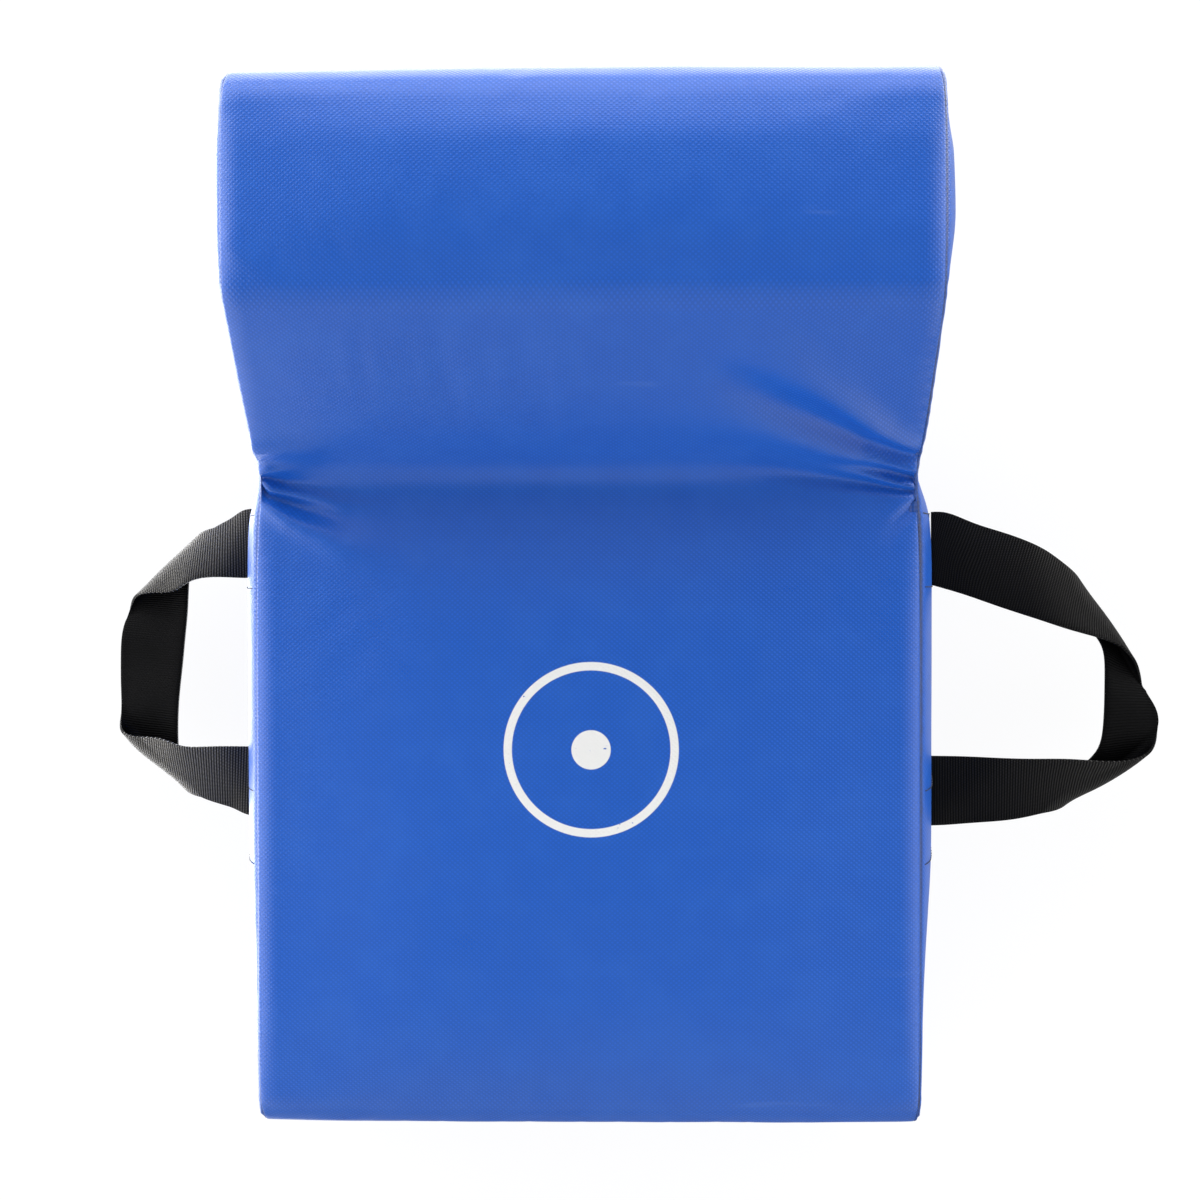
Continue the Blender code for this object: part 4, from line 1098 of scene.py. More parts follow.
def straight_stretches(stations):
    """The runs of stations whose seam allowances are turned in, between the corners."""
    for low, high in ((1.0, 2.0), (3.0, 4.0), (5.0, 6.0)):
        yield [index for index, station in enumerate(stations) if low <= station <= high]


PINNED_SHARE = 0.97
CLOTH_SETTINGS = {
    "quality": 5,
    "mass": 0.3,
    "tension_stiffness": 15,
    "compression_stiffness": 15,
    "shear_stiffness": 8,
    "bending_stiffness": 2,
    "use_pressure": True,
}


def relax(item, sizes, held):
    """Lets a sewn panel settle as cloth that its stuffing pushes out, held where it is sewn.

    Every point is held by a share from 0 to 1, and keeps the rest of its move, up to cloth_reach.
    """
    before = [vert.co.copy() for vert in item.data.vertices]
    group = item.vertex_groups.new(name="sewn")
    pinned = [index for index, share in enumerate(held) if share > PINNED_SHARE]
    group.add(pinned, 1.0, "REPLACE")
    made = item.modifiers.new("Cloth", "CLOTH")
    made.collision_settings.use_collision = False
    cloth = made.settings
    for key, value in CLOTH_SETTINGS.items():
        setattr(cloth, key, value)
    cloth.vertex_group_mass = group.name
    cloth.shrink_min = -sizes.cloth_slack
    cloth.uniform_pressure_force = sizes.cloth_pressure
    cloth.effector_weights.gravity = 0
    made.point_cache.frame_start = 1
    made.point_cache.frame_end = sizes.cloth_frames
    for moment in range(1, sizes.cloth_frames + 1):
        bpy.context.scene.frame_set(moment)
    settle(item)
    item.vertex_groups.clear()
    bpy.context.scene.frame_set(1)
    for vert, old, share in zip(item.data.vertices, before, held):
        move = vert.co - old
        kept = sizes.cloth_reach * math.tanh(move.length / sizes.cloth_reach) * (1 - share)
        vert.co = old + move.normalized() * kept


# How far the cloth's hold reaches: from a seam, the zip and the vents, where it fades out between two
# distances, and the half widths of the bands along the crease and the ridge.
SEAM_HOLD = (0.004, 0.120)
ZIP_HOLD = (0.020, 0.110)
VENT_HOLD = (0.100, 0.190)
CREASE_HOLD = 0.045
RIDGE_HOLD = 0.030


def face_hold(pad, side, rows, corners):
    """How firmly each corner of a face is held while it settles: 1 is sewn, 0 is free."""
    held = {}
    for (_, row), vert in corners.items():
        run = rows[row].run
        held[vert] = max(
            1 - smooth(pad.half_width - abs(vert.co.x), *SEAM_HOLD),
            1 - smooth(run - rows[0].run, *ZIP_HOLD),
            1 - smooth(rows[-1].run - run, *VENT_HOLD),
            bell(run - pad.run(CREASE, side), CREASE_HOLD),
            bell(run - pad.run(RIDGE, side), RIDGE_HOLD),
        )
    return held


class SHIELD_OT_cover_faces(bpy.types.Operator):
    """Sews the front and back panels of the cover, crowned over the foam and folded at the crease"""

    bl_idname = "shield.cover_faces"
    bl_label = "Cover Faces"

    def execute(self, context):
        chosen = settings()
        pad = current_pad()
        relief = Relief(pad, chosen.stage)
        seams = (-pad.half_width, pad.half_width)
        for word, side, mark in (("front", 1, strike_mark), ("back", -1, None)):
            name = "blue vinyl, " + word
            material = vinyl_finish(chosen.colours, name, seams, *FACE_SEAM_SHADE, mark)
            item = self.build(word + "_cover", pad, relief, side, material)
            dress(item, "pad", "cover_vinyl", (word + "_panel",))
        return {"FINISHED"}

    def build(self, name, pad, relief, side, material):
        front = side > 0
        roll_width = pad.sizes.front_roll_width if front else pad.sizes.back_roll_width
        stations = stations_for(FRONT_STEPS if front else BACK_STEPS)
        rows, first = face_rows(pad, side, stations)
        order = columns_for(pad.half_width, roll_width, *(FRONT_COLUMNS if front else BACK_COLUMNS))
        if not front:
            order.reverse()

        def place(column, row):
            u = order[column]
            spot = face_point(pad, relief, rows[row], u, side, roll_width)
            if abs(u) == 1:
                half_gap = seam_gap(pad, u) / 2
                normal = rows[row].normal
                spot += Vector((0, normal.x * half_gap, normal.y * half_gap))
            return spot

        def flat(column, row):
            return order[column] * pad.half_width, rows[row].run

        bm, corners = sheet_of(len(order), len(rows), place, flat=flat)
        for column in (0, len(order) - 1):
            way = math.copysign(1.0, order[column])
            for stretch in straight_stretches(stations):
                normals = [rows[first + index].normal for index in stretch]
                chain = [corners[column, first + index] for index in stretch]
                turn_in(bm, chain, lambda k: allowance_move(pad, way, normals[k]))
        held = face_hold(pad, side, rows, corners)
        held = [held.get(vert, 1.0) for vert in bm.verts]
        item = piece(name, bm, material)
        if front:
            relax(item, pad.sizes, held)
        thicken(item, pad.sizes.skin, -1.0)
        return settle(item)


def side_shares(steps):
    """Shares of the thickness across a side panel, closer together at its two seams."""
    turns = [math.cos(math.pi * t) for t in spread(steps)]
    return [0.5 - 0.5 * turn * (0.35 + 0.65 * abs(turn)) for turn in turns]


SIDES = ((-1, "left"), (1, "right"))
SLIT_SPARE_WIDTH = 0.0016
SLIT_SPARE_HEIGHT = 0.0012


def root_places(handles, side):
    if side < 0:
        return handles.left_upper_root, handles.left_lower_root
    return handles.right_upper_root, handles.right_lower_root


class SHIELD_OT_cover_sides(bpy.types.Operator):
    """Sews the two side panels of the cover, swollen between their seams and slit for the handles"""

    bl_idname = "shield.cover_sides"
    bl_label = "Cover Sides"

    def execute(self, context):
        chosen = settings()
        pad = current_pad()
        relief = Relief(pad, chosen.stage)
        seams = (0.0, pad.sizes.thickness)
        for side, word in SIDES:
            name = "blue vinyl, %s side" % word
            material = vinyl_finish(chosen.colours, name, seams, *SIDE_SEAM_SHADE[word])
            item = self.build(pad, relief, side, word, material)
            dress(item, "pad", "cover_vinyl", (word + "_gusset",))
        return {"FINISHED"}

    def build(self, pad, relief, side, word, material):
        stations = stations_for(SIDE_STEPS)
        shares = side_shares(SIDE_COLUMNS)
        if side < 0:
            shares.reverse()
        thickness = pad.sizes.thickness
        half_gap = seam_gap(pad, side) / 2

        def place(column, row):
            share, station = shares[column], stations[row]
            out, spot = pad.side_place(station, share)
            off = min(share, 1 - share) * thickness
            run = pad.run(station, 1)
            from_end = min(run, pad.run(LAST, 1) - run)
            out -= seam_pull(pad, min(off, from_end))
            out += relief.pucker_height(run, off, side * 5) * smooth(off, 0.0, PUCKER_RISE)
            out += relief.wave_height(Vector((side, *spot))) * smooth(off, 0, WAVE_RISE)
            point = Vector((side * out, *spot))
            if off == 0:
                normal = pad.row(station, 1 if share > 0.5 else -1).normal
                point -= Vector((0, normal.x * half_gap, normal.y * half_gap))
            elif row in (0, len(stations) - 1):
                point.y += half_gap * (1 if row == 0 else -1)
            return point

        def flat(column, row):
            return shares[column] * thickness, pad.run(stations[row], 1)

        bm, corners = sheet_of(len(shares), len(stations), place, flat=flat)
        bmesh.ops.reverse_faces(bm, faces=bm.faces)
        for column, face in ((shares.index(1.0), 1), (shares.index(0.0), -1)):
            for stretch in straight_stretches(stations):
                chain = [corners[column, index] for index in stretch]
                normals = [pad.row(stations[index], face).normal for index in stretch]
                turn_in(bm, chain, lambda k: allowance_move(pad, side, normals[k]))
        item = piece(word + "_side_cover", bm, material)
        thicken(item, pad.sizes.skin, -1.0)
        settle(item)
        for root in root_places(pad.handles, side):
            self.slit(item, pad, side, root)
        return settle(item)

    def slit(self, item, pad, side, root):
        bm = bmesh.new()
        size = (
            2 * (pad.sizes.side_bulge + pad.handles.hinge_standoff),
            pad.handles.width + SLIT_SPARE_WIDTH,
            pad.handles.thickness + SLIT_SPARE_HEIGHT,
        )
        bmesh.ops.create_cube(bm, size=1, matrix=Matrix.Diagonal((*size, 1)))
        place = (side * (pad.half_width + size[0] / 2), pad.bottom_y + root, pad.hinge_z)
        bmesh.ops.translate(bm, verts=bm.verts, vec=place)
        cutter = piece("slit_cutter", bm, item.data.materials[0])
        cut = item.modifiers.new("Slit", "BOOLEAN")
        cut.operation = "DIFFERENCE"
        cut.solver = "EXACT"
        cut.object = cutter
        settle(item)
        bpy.data.objects.remove(cutter)


def merged_copy(node):
    """A CAD node's shape as one closed mesh."""
    bm = bmesh.new()
    bm.from_mesh(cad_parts[node].data)
    bmesh.ops.remove_doubles(bm, verts=bm.verts, dist=0.00001)
    return bm


PART_ANGLE = math.radians(35)
SHADING_ANGLE = math.radians(50)


def bevelled(bm, width, segments, angle):
    """Rounds the edges whose faces meet at more than an angle."""
    edges = [edge for edge in bm.edges if len(edge.link_faces) == 2 and edge.calc_face_angle() > angle]
    bmesh.ops.bevel(
        bm, geom=edges, offset=width, segments=segments, profile=0.5, affect="EDGES", material=-1,
        clamp_overlap=True,
    )


FOAM_ANGLE = 0.6
FIRM_CELL = 0.0011
SOFT_CELL = 0.0016


class SHIELD_OT_foam(bpy.types.Operator):
    """Cuts the foam blocks, a little smaller than the cover that holds them"""

    bl_idname = "shield.foam"
    bl_label = "Foam"

    def execute(self, context):
        chosen = settings()
        firm = foam_finish("firm foam", chosen.colours.firm_foam, FIRM_CELL)
        soft = foam_finish("soft foam", chosen.colours.soft_foam, SOFT_CELL)
        kinds = (
            ("core", "_foam_core", firm, "firm_foam"),
            ("strike", "_strike_foam", soft, "soft_foam"),
        )
        for stretch in ("lower", "slope", "head"):
            for kind, ending, material, slot in kinds:
                bm = merged_copy(stretch + ending)
                bm.normal_update()
                moves = {vert: vert.normal * chosen.pad.foam_shrink for vert in bm.verts}
                for vert, move in moves.items():
                    vert.co -= move
                bevelled(bm, chosen.pad.foam_bevel, 3, FOAM_ANGLE)
                item = piece("%s_%s_block" % (stretch, kind), bm, material)
                dress(item, "pad", slot, (stretch + ending,))
        return {"FINISHED"}


class Loop:
    """A flat strip that leaves the upper root, folds under, runs down and folds back over.

    Its own plane has the distance from the side first and the way up the shield second.
    """

    def __init__(self, roots, reach, upper_slant, lower_slant, lean, radius):
        self.radius = radius
        self.wrap = math.pi * radius
        self.upper = Vector((0, roots[0]))
        lower = Vector((0, roots[1]))
        self.out_upper = Vector((math.cos(upper_slant), -math.sin(upper_slant)))
        self.out_lower = Vector((math.cos(lower_slant), math.sin(lower_slant)))
        self.down = Vector((-math.sin(lean), -math.cos(lean)))
        across = Vector((-self.down.y, self.down.x))
        middle = Vector((reach, sum(roots) / 2))
        self.folds = []
        for start, out, normal in (
            (self.upper, self.out_upper, (self.out_upper - self.down).normalized()),
            (lower, self.out_lower, (self.down + self.out_lower).normalized()),
        ):
            way = middle - across * (self.wrap * normal.dot(across)) - start
            place = start + out * (way.cross(self.down) / out.cross(self.down))
            self.folds.append((place, normal))

    def start_at(self, across):
        return self.upper + Vector((-self.out_upper.y, self.out_upper.x)) * across

    def past_fold(self, spot, fold):
        """How far a place lies past a fold, and where it lies once it is folded back."""
        place, normal = fold
        past = (spot - place).dot(normal)
        return past, spot - normal * (2 * past - self.wrap)

    def break_lines(self, across):
        """Lengths along the strip where it starts, folds and ends, at an offset across it."""
        start = self.start_at(across)
        (first_place, first_normal), (second_place, second_normal) = self.folds
        to_fold = (first_place - start).dot(first_normal)
        speed = self.out_upper.dot(first_normal)
        fold_end = (to_fold + self.wrap) / speed
        _, turned = self.past_fold(start + self.out_upper * fold_end, self.folds[0])
        speed_two = self.down.dot(second_normal)
        fold_two = fold_end + (second_place - turned).dot(second_normal) / speed_two
        fold_two_end = fold_two + self.wrap / speed_two
        back = start + self.out_upper * fold_two_end
        for fold in self.folds:
            _, back = self.past_fold(back, fold)
        last = fold_two_end + back.x / self.out_lower.x
        return (-start.x / self.out_upper.x, to_fold / speed, fold_end, fold_two, fold_two_end, last)

    def point(self, length, across):
        """Distance out, way up the shield and height of a point of the strip."""
        spot = self.start_at(across) + self.out_upper * length
        height = 0.0
        for fold, way in zip(self.folds, (-1, 1)):
            past, turned = self.past_fold(spot, fold)
            if past <= 0:
                break
            if past < self.wrap:
                angle = past / self.radius
                spot += fold[1] * (self.radius * math.sin(angle) - past)
                height += way * self.radius * (1 - math.cos(angle))
                break
            spot = turned
            height += way * 2 * self.radius
        return Vector((spot.x, spot.y, height))


# Outlines of the two loops in the photograph's pixels: the outer edge, the inner edge and a point in
# the middle of the opening.
LOOP_OUTLINES = {
    "left": (
        (
            (249, 509), (220, 523), (190, 540), (156, 570), (138, 589), (120, 608), (113, 620),
            (111, 642), (110, 680), (111, 710), (114, 730), (128, 749), (170, 780), (198, 799),
            (248, 813),
        ),
        (
            (249, 577), (206, 576), (185, 580), (182, 610), (177, 666), (172, 708), (172, 726),
            (176, 749), (198, 747), (228, 745), (249, 746),
        ),
        (213, 662),
    ),
    "right": (
        (
            (929, 511), (1017, 536), (1056, 553), (1075, 574), (1107, 614), (1123, 638),
            (1135, 658), (1151, 692), (1164, 712), (1167, 724), (1161, 748), (1139, 766),
            (1105, 788), (1043, 815), (1013, 821), (935, 826),
        ),
        (
            (933, 585), (1011, 611), (1059, 626), (1111, 642), (1109, 700), (1106, 758),
            (1027, 759), (933, 754),
        ),
        (1020, 690),
    ),
}


def reach_to(outline, centre, angle, farthest):
    """How far an outline lies from a centre in a direction, or None where it is open."""
    ray = Vector((math.cos(angle), math.sin(angle)))
    found = []
    for start, end in zip(outline, outline[1:]):
        way = end - start
        spread_out = ray.cross(way)
        if abs(spread_out) > 1e-12:
            along = (start - centre).cross(way) / spread_out
            share = (start - centre).cross(ray) / spread_out
            if along > 0 and 0 <= share <= 1:
                found.append(along)
    if not found:
        return None
    return max(found) if farthest else min(found)


DRAPE_ROUNDS = 10
BINS = 240
BIN_ROUNDS = 6
EDGE_STEPS = 400
FOLD_STEPS = 40
ROOT_HOLD = (0.001, 0.016)
LEAST_BAND = 0.02
LEAST_NARROWED = 0.4
MOST_LIFT = 0.0065


class Drape:
    """Eases a flat loop into the outline that it has in the photograph, tilting what narrows."""

    def __init__(self, loop, word, side, tilt, pad, stage):
        self.tilt = tilt
        self.pad = pad
        self.side = side
        outer, inner, middle = LOOP_OUTLINES[word]
        self.centre = self.on_plane(stage, *middle)
        outer = [self.on_plane(stage, *pixel) for pixel in outer]
        inner = [self.on_plane(stage, *pixel) for pixel in inner]
        lines = self.outlines(loop, pad.handles.width)
        self.far, self.near, self.far_move, self.near_move = [], [], [], []
        for index in range(BINS):
            angle = math.tau * (index + 0.5) / BINS - math.pi
            wanted_far = reach_to(outer, self.centre, angle, True)
            wanted_near = reach_to(inner, self.centre, angle, False)
            far = [reach_to(line, self.centre, angle, True) for line in lines]
            near = [reach_to(line, self.centre, angle, False) for line in lines]
            far = max((radius for radius in far if radius), default=0.0)
            near = min((radius for radius in near if radius), default=0.0)
            known = far and wanted_far and wanted_near
            self.far_move.append(wanted_far - far if known else 0.0)
            self.near_move.append(wanted_near - near if known else 0.0)
            self.far.append(far)
            self.near.append(near)
        for _ in range(BIN_ROUNDS):
            self.far_move = self.evened(self.far_move)
            self.near_move = self.evened(self.near_move)

    def outlines(self, loop, width):
        """The two edges of the strip and the outermost lines of its two folds."""
        lines = []
        for across in (-width / 2, width / 2):
            breaks = loop.break_lines(across)
            lengths = [mix(breaks[0], breaks[-1], share) for share in spread(EDGE_STEPS)]
            lines.append([loop.point(length, across).to_2d() for length in lengths])
        for first in (1, 3):
            line = []
            for share in spread(FOLD_STEPS):
                across = mix(-width / 2, width / 2, share)
                breaks = loop.break_lines(across)
                line.append(loop.point((breaks[first] + breaks[first + 1]) / 2, across).to_2d())
            lines.append(line)
        return lines

    def on_plane(self, stage, px, py):
        """Where a pixel's ray meets the plane of the loop: distance out and way up."""
        origin, ray = sight_of(stage, px, py)
        rise, run = math.sin(self.tilt), math.cos(self.tilt)
        height = (origin.z - self.pad.hinge_z) * run - (self.side * origin.x - self.pad.hinge_x) * rise
        spot = origin + ray * (height / (self.side * ray.x * rise - ray.z * run))
        out = (self.side * spot.x - self.pad.hinge_x) / run
        return Vector((out, spot.y - self.pad.bottom_y))

    def polar(self, spot):
        way = spot - self.centre
        turned = (math.atan2(way.y, way.x) + math.pi) / math.tau * BINS
        return min(turned, BINS - 0.001), way.length

    def evened(self, values):
        count = len(values)
        return [
            (2 * values[i] + values[i - 1] + values[(i + 1) % count]
             + 0.5 * values[i - 2] + 0.5 * values[(i + 2) % count]) / 5
            for i in range(count)
        ]

    def read(self, values, index):
        low = math.floor(index - 0.5)
        return mix(values[low % BINS], values[(low + 1) % BINS], index - 0.5 - low)

    def __call__(self, point):
        spot = point.to_2d()
        index, radius = self.polar(spot)
        near, far, near_move, far_move = (
            self.read(values, index) for values in (self.near, self.far, self.near_move, self.far_move)
        )
        hold = smooth(spot.x, *ROOT_HOLD)
        width = max(far - near, LEAST_BAND)
        share = min(max((radius - near) / width, 0.0), 1.0)
        narrowed = min(max((width + far_move - near_move) / width, LEAST_NARROWED), 1.0)
        tilt = min(0.5 * width * math.sqrt(1 - narrowed**2), MOST_LIFT)
        move = mix(near_move, far_move, share) * hold
        spot += (spot - self.centre).normalized() * move
        return Vector((spot.x, spot.y, point.z + (1 - 2 * share) * tilt * hold))


# The painted sheen map's first number is the share of painted sheen, and its second one isn't used.
SHEEN_MAP_ROW = 0.5
EDGE_SHARE = 0.3
EDGE_ANGLE = math.radians(60)


class SHIELD_OT_handles(bpy.types.Operator):
    """Folds the two free loops of webbing, each of which swings about the line of its slits"""

    bl_idname = "shield.handles"
    bl_label = "Handles"

    def execute(self, context):
        chosen = settings()
        sizes = chosen.handles
        pad = current_pad()
        material = webbing_finish(chosen.colours)
        for side, word in SIDES:
            reach, upper_slant, lower_slant, lean, tilt = (
                getattr(sizes, "%s_%s" % (word, key))
                for key in ("reach", "upper_slant", "lower_slant", "lean", "tilt")
            )
            roots = root_places(sizes, side)
            loop = Loop(roots, reach, upper_slant, lower_slant, lean, sizes.fold_radius)
            item = self.build(word, side, pad, loop, tilt, material)
            dress(item, word + "_handle", "webbing", (word + "_handle_webbing",))
        return {"FINISHED"}

    def build(self, word, side, pad, loop, tilt, material):
        sizes = pad.handles
        across_steps = 16
        stretch_steps = (28, 18, 44, 18, 28)
        table = []
        for column in range(across_steps + 1):
            across = mix(-sizes.width / 2, sizes.width / 2, column / across_steps)
            lines = loop.break_lines(across)
            stations = [lines[0]]
            for first, last, steps in zip(lines, lines[1:], stretch_steps):
                stations += [mix(first, last, step / steps) for step in range(1, steps + 1)]
            table.append((across, stations))
        ease = Drape(loop, word, side, tilt, pad, settings().stage)

        flat_places = [[loop.point(length, across) for length in lengths] for across, lengths in table]
        moves = [[ease(spot) - spot for spot in line] for line in flat_places]
        for _ in range(DRAPE_ROUNDS):
            moves = self.evened(moves)

        def place(column, row):
            out, up, height = flat_places[column][row] + moves[column][row]
            x = pad.hinge_x + out * math.cos(tilt) - height * math.sin(tilt)
            z = pad.hinge_z + out * math.sin(tilt) + height * math.cos(tilt)
            return Vector((side * x, pad.bottom_y + up, z))

        def flat(column, row):
            across, stations = table[column]
            return across, stations[row]

        first_fold, last_fold = stretch_steps[0], sum(stretch_steps) - stretch_steps[-1]
        strength = getattr(sizes, word + "_painted_sheen")
        fold_margin = 6

        def wear(column, row):
            """The arms get painted grey sheen, most of all towards their folds and outer edges."""
            arm = max(1 - row / first_fold, (row - last_fold) / stretch_steps[-1], 0.0)
            if first_fold + fold_margin < row < last_fold - fold_margin:
                return 0.0, SHEEN_MAP_ROW
            outer = column / across_steps
            if row > last_fold:
                outer = 1 - outer
            return strength * (0.25 + 0.75 * (1 - arm)) * (0.45 + 0.55 * outer), SHEEN_MAP_ROW

        bm, _ = sheet_of(across_steps + 1, sum(stretch_steps) + 1, place, flat=flat, wear=wear)
        item = piece(word + "_handle_loop", bm, material)
        thicken(item, sizes.thickness, 0.0)
        edge = item.modifiers.new("Edge", "BEVEL")
        edge.width = sizes.thickness * EDGE_SHARE
        edge.segments = 2
        edge.limit_method = "ANGLE"
        edge.angle_limit = EDGE_ANGLE
        return settle(item)

    def evened(self, moves):
        """Shares each move with its neighbours on the strip, apart from the two ends' moves."""
        last = len(moves) - 1

        def shared(column, row):
            line = moves[column]
            if row in (0, len(line) - 1):
                return line[row]
            beside = moves[max(column - 1, 0)][row] + moves[min(column + 1, last)][row]
            return (line[row] * 2 + line[row - 1] * 1.5 + line[row + 1] * 1.5 + beside * 0.5) / 6

        return [[shared(column, row) for row in range(len(line))] for column, line in enumerate(moves)]


ANCHOR_STEPS = (26, 8, 10)
ANCHOR_STEP = 0.003
ANCHOR_GAP = 0.0012
LEAN_END = 0.75
STITCH_DROP = 0.006
STITCH_END_GAP = 0.001
STITCH_PROUD = 0.7


class SHIELD_OT_anchors(bpy.types.Operator):
    """Sews the ends of the handles inside the side panels, with a row of stitches along each edge"""

    bl_idname = "shield.anchors"
    bl_label = "Sewn Handle Ends"

    def execute(self, context):
        chosen = settings()
        pad = current_pad()
        webbing = bpy.data.materials[WEBBING_NAME]
        thread = thread_finish("black thread", chosen.colours.thread)
        sewn = (pad.handles.upper_sewn, pad.handles.lower_sewn)
        for side, word in SIDES:
            for root, end, level in zip(root_places(pad.handles, side), sewn, ("upper", "lower")):
                node = "%s_%s_anchor" % (word, level)
                item = self.anchor(node + "_webbing", pad, side, root, end, webbing)
                dress(item, "pad", "webbing", (node,))
                for edge, edge_word in ((1, "head_side"), (-1, "foot_side")):
                    node = "%s_%s_stitching_%s" % (word, level, edge_word)
                    item = self.stitches(node + "_row", pad, side, root, end, edge, thread)
                    dress(item, "pad", "thread", (node,))
        return {"FINISHED"}

    def way_up(self, pad, root, end, z, top_z):
        """How far up the middle of the webbing lies at a height: it leans on its way to its end."""
        lean = smooth(z, pad.hinge_z, mix(pad.hinge_z, top_z, LEAN_END))
        return pad.bottom_y + mix(root, end, lean)

    def anchor(self, name, pad, side, root, end, material):
        sizes = pad.handles
        top_z = pad.front_seam_z - sizes.end_drop
        inset = pad.sizes.skin + ANCHOR_GAP + sizes.thickness / 2
        drop_steps, out_steps, across_steps = ANCHOR_STEPS
        stub = pad.hinge_x - sizes.thickness / 2 - sizes.running_gap

        def place(column, row):
            offset = mix(-sizes.width / 2, sizes.width / 2, column / across_steps)
            z = mix(top_z, pad.hinge_z, min(1.0, row / drop_steps))
            y = self.way_up(pad, root, end, z, top_z) + offset
            inner = pad.side_reach(y, z) - inset
            out = mix(inner, stub, max(0.0, (row - drop_steps) / out_steps))
            return Vector((side * out, y, z))

        def flat(column, row):
            return mix(0.0, sizes.width, column / across_steps), row * ANCHOR_STEP

        bm, _ = sheet_of(across_steps + 1, drop_steps + out_steps + 1, place, flat=flat)
        item = piece(name, bm, material)
        thicken(item, sizes.thickness, 0.0)
        return settle(item)

    def stitches(self, name, pad, side, root, end, edge, material):
        sizes = pad.handles
        top_z = pad.front_seam_z - STITCH_DROP
        low_z = pad.hinge_z + sizes.thickness + STITCH_END_GAP
        bm = bmesh.new()
        for stitch in range(int((top_z - low_z) / sizes.stitch_pitch)):
            middle = top_z - (stitch + 0.5) * sizes.stitch_pitch
            ends = []
            for z in (middle + sizes.stitch_length / 2, middle - sizes.stitch_length / 2):
                y = self.way_up(pad, root, end, z, top_z) + edge * sizes.width / 2
                out = pad.side_reach(y, z) + sizes.thread_radius * STITCH_PROUD
                ends.append(Vector((side * out, y, z)))
            add_stitch(bm, *ends, sizes.thread_radius)
        return piece(name, bm, material)


def add_stitch(bm, start, end, radius):
    """A rounded stitch between two points."""
    way = end - start
    turn = way.to_track_quat("Z", "Y").to_matrix().to_4x4()
    size = Matrix.Diagonal((radius, radius, way.length / 2, 1))
    matrix = Matrix.Translation((start + end) / 2) @ turn @ size
    bmesh.ops.create_uvsphere(bm, u_segments=6, v_segments=6, radius=1, matrix=matrix)


# The zip's hard parts and the bodies that they ride on.
ZIP_PARTS = (
    ("zip_front_teeth", "pad"), ("zip_back_teeth", "pad"), ("zip_left_stop", "pad"),
    ("zip_right_stop", "pad"), ("zip_slider", "slider"), ("zip_slider_inner_plate", "slider"),
    ("zip_pull_tab", "pull_tab"),
)
FLAT_ANGLE = math.radians(1)
TAPE_COLUMNS = 6
TAPE_ROWS = 120
TAPE_SHARE = 0.94
HEM_THREAD = 0.0003
HEM_SUNK = 0.6
HEM_MARGIN = 0.012


class SHIELD_OT_zip(bpy.types.Operator):
    """Lays the zip's tapes and dresses its teeth, stops, slider and pull tab"""

    bl_idname = "shield.zip"
    bl_label = "Zip"

    def execute(self, context):
        chosen = settings()
        pad = current_pad()
        sizes = chosen.zip
        tape = tape_finish(chosen.colours)
        for node in ("zip_front_tape", "zip_back_tape"):
            dress(self.tape(node, tape), "pad", "zip_tape", (node,))
        plastic = (moulded_finish(chosen.colours), "zip_plastic", sizes.teeth_bevel)
        metal = (nickel_finish(chosen.colours, "zip nickel", 0.26), "zip_nickel", sizes.metal_bevel)
        for node, body in ZIP_PARTS:
            material, slot, bevel = plastic if node.endswith("teeth") else metal
            bm = merged_copy(node)
            bmesh.ops.dissolve_limit(
                bm, angle_limit=FLAT_ANGLE, verts=bm.verts, edges=bm.edges, delimit={"NORMAL"}
            )
            bevelled(bm, bevel, 2, PART_ANGLE)
            item = piece(node + "_shape", bm, material)
            item.data.set_sharp_from_angle(angle=SHADING_ANGLE)
            dress(item, body, slot, (node,))
        thread = thread_finish("blue thread", chosen.colours.hem_thread)
        for way, word in ((1, "front"), (-1, "back")):
            item = self.hem("zip_hem_stitches_" + word, pad, chosen, way, thread)
            dress(item, "pad", "thread")
        return {"FINISHED"}

    def tape(self, node, material):
        low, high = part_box(node)
        size = high - low

        def place(column, row):
            x = mix(low.x, high.x, row / TAPE_ROWS)
            return Vector((x, (low.y + high.y) / 2, mix(high.z, low.z, column / TAPE_COLUMNS)))

        def flat(column, row):
            return size.z * column / TAPE_COLUMNS, size.x * row / TAPE_ROWS

        bm, _ = sheet_of(TAPE_COLUMNS + 1, TAPE_ROWS + 1, place, flat=flat)
        item = piece(node + "_cloth", bm, material)
        thicken(item, size.y * TAPE_SHARE, 0.0)
        return settle(item)

    def hem(self, name, pad, chosen, way, material):
        """Stitches along one edge of the cover, beside the zip."""
        share = 0.5 + way * (pad.half_opening + chosen.zip.hem_inset / pad.sizes.thickness)
        y, z = pad.end_row(0.0, share).place
        y -= HEM_THREAD * HEM_SUNK
        half = chosen.handles.stitch_length / 2
        pitch = chosen.handles.stitch_pitch
        count = int((pad.sizes.width - HEM_MARGIN) / pitch)
        bm = bmesh.new()
        for stitch in range(count):
            x = (stitch - (count - 1) / 2) * pitch
            add_stitch(bm, Vector((x - half, y, z)), Vector((x + half, y, z)), HEM_THREAD)
        return piece(name, bm, material)


RIM_STEPS = 6
WASHER_GAP = 0.0003
TURN_STEPS = 40


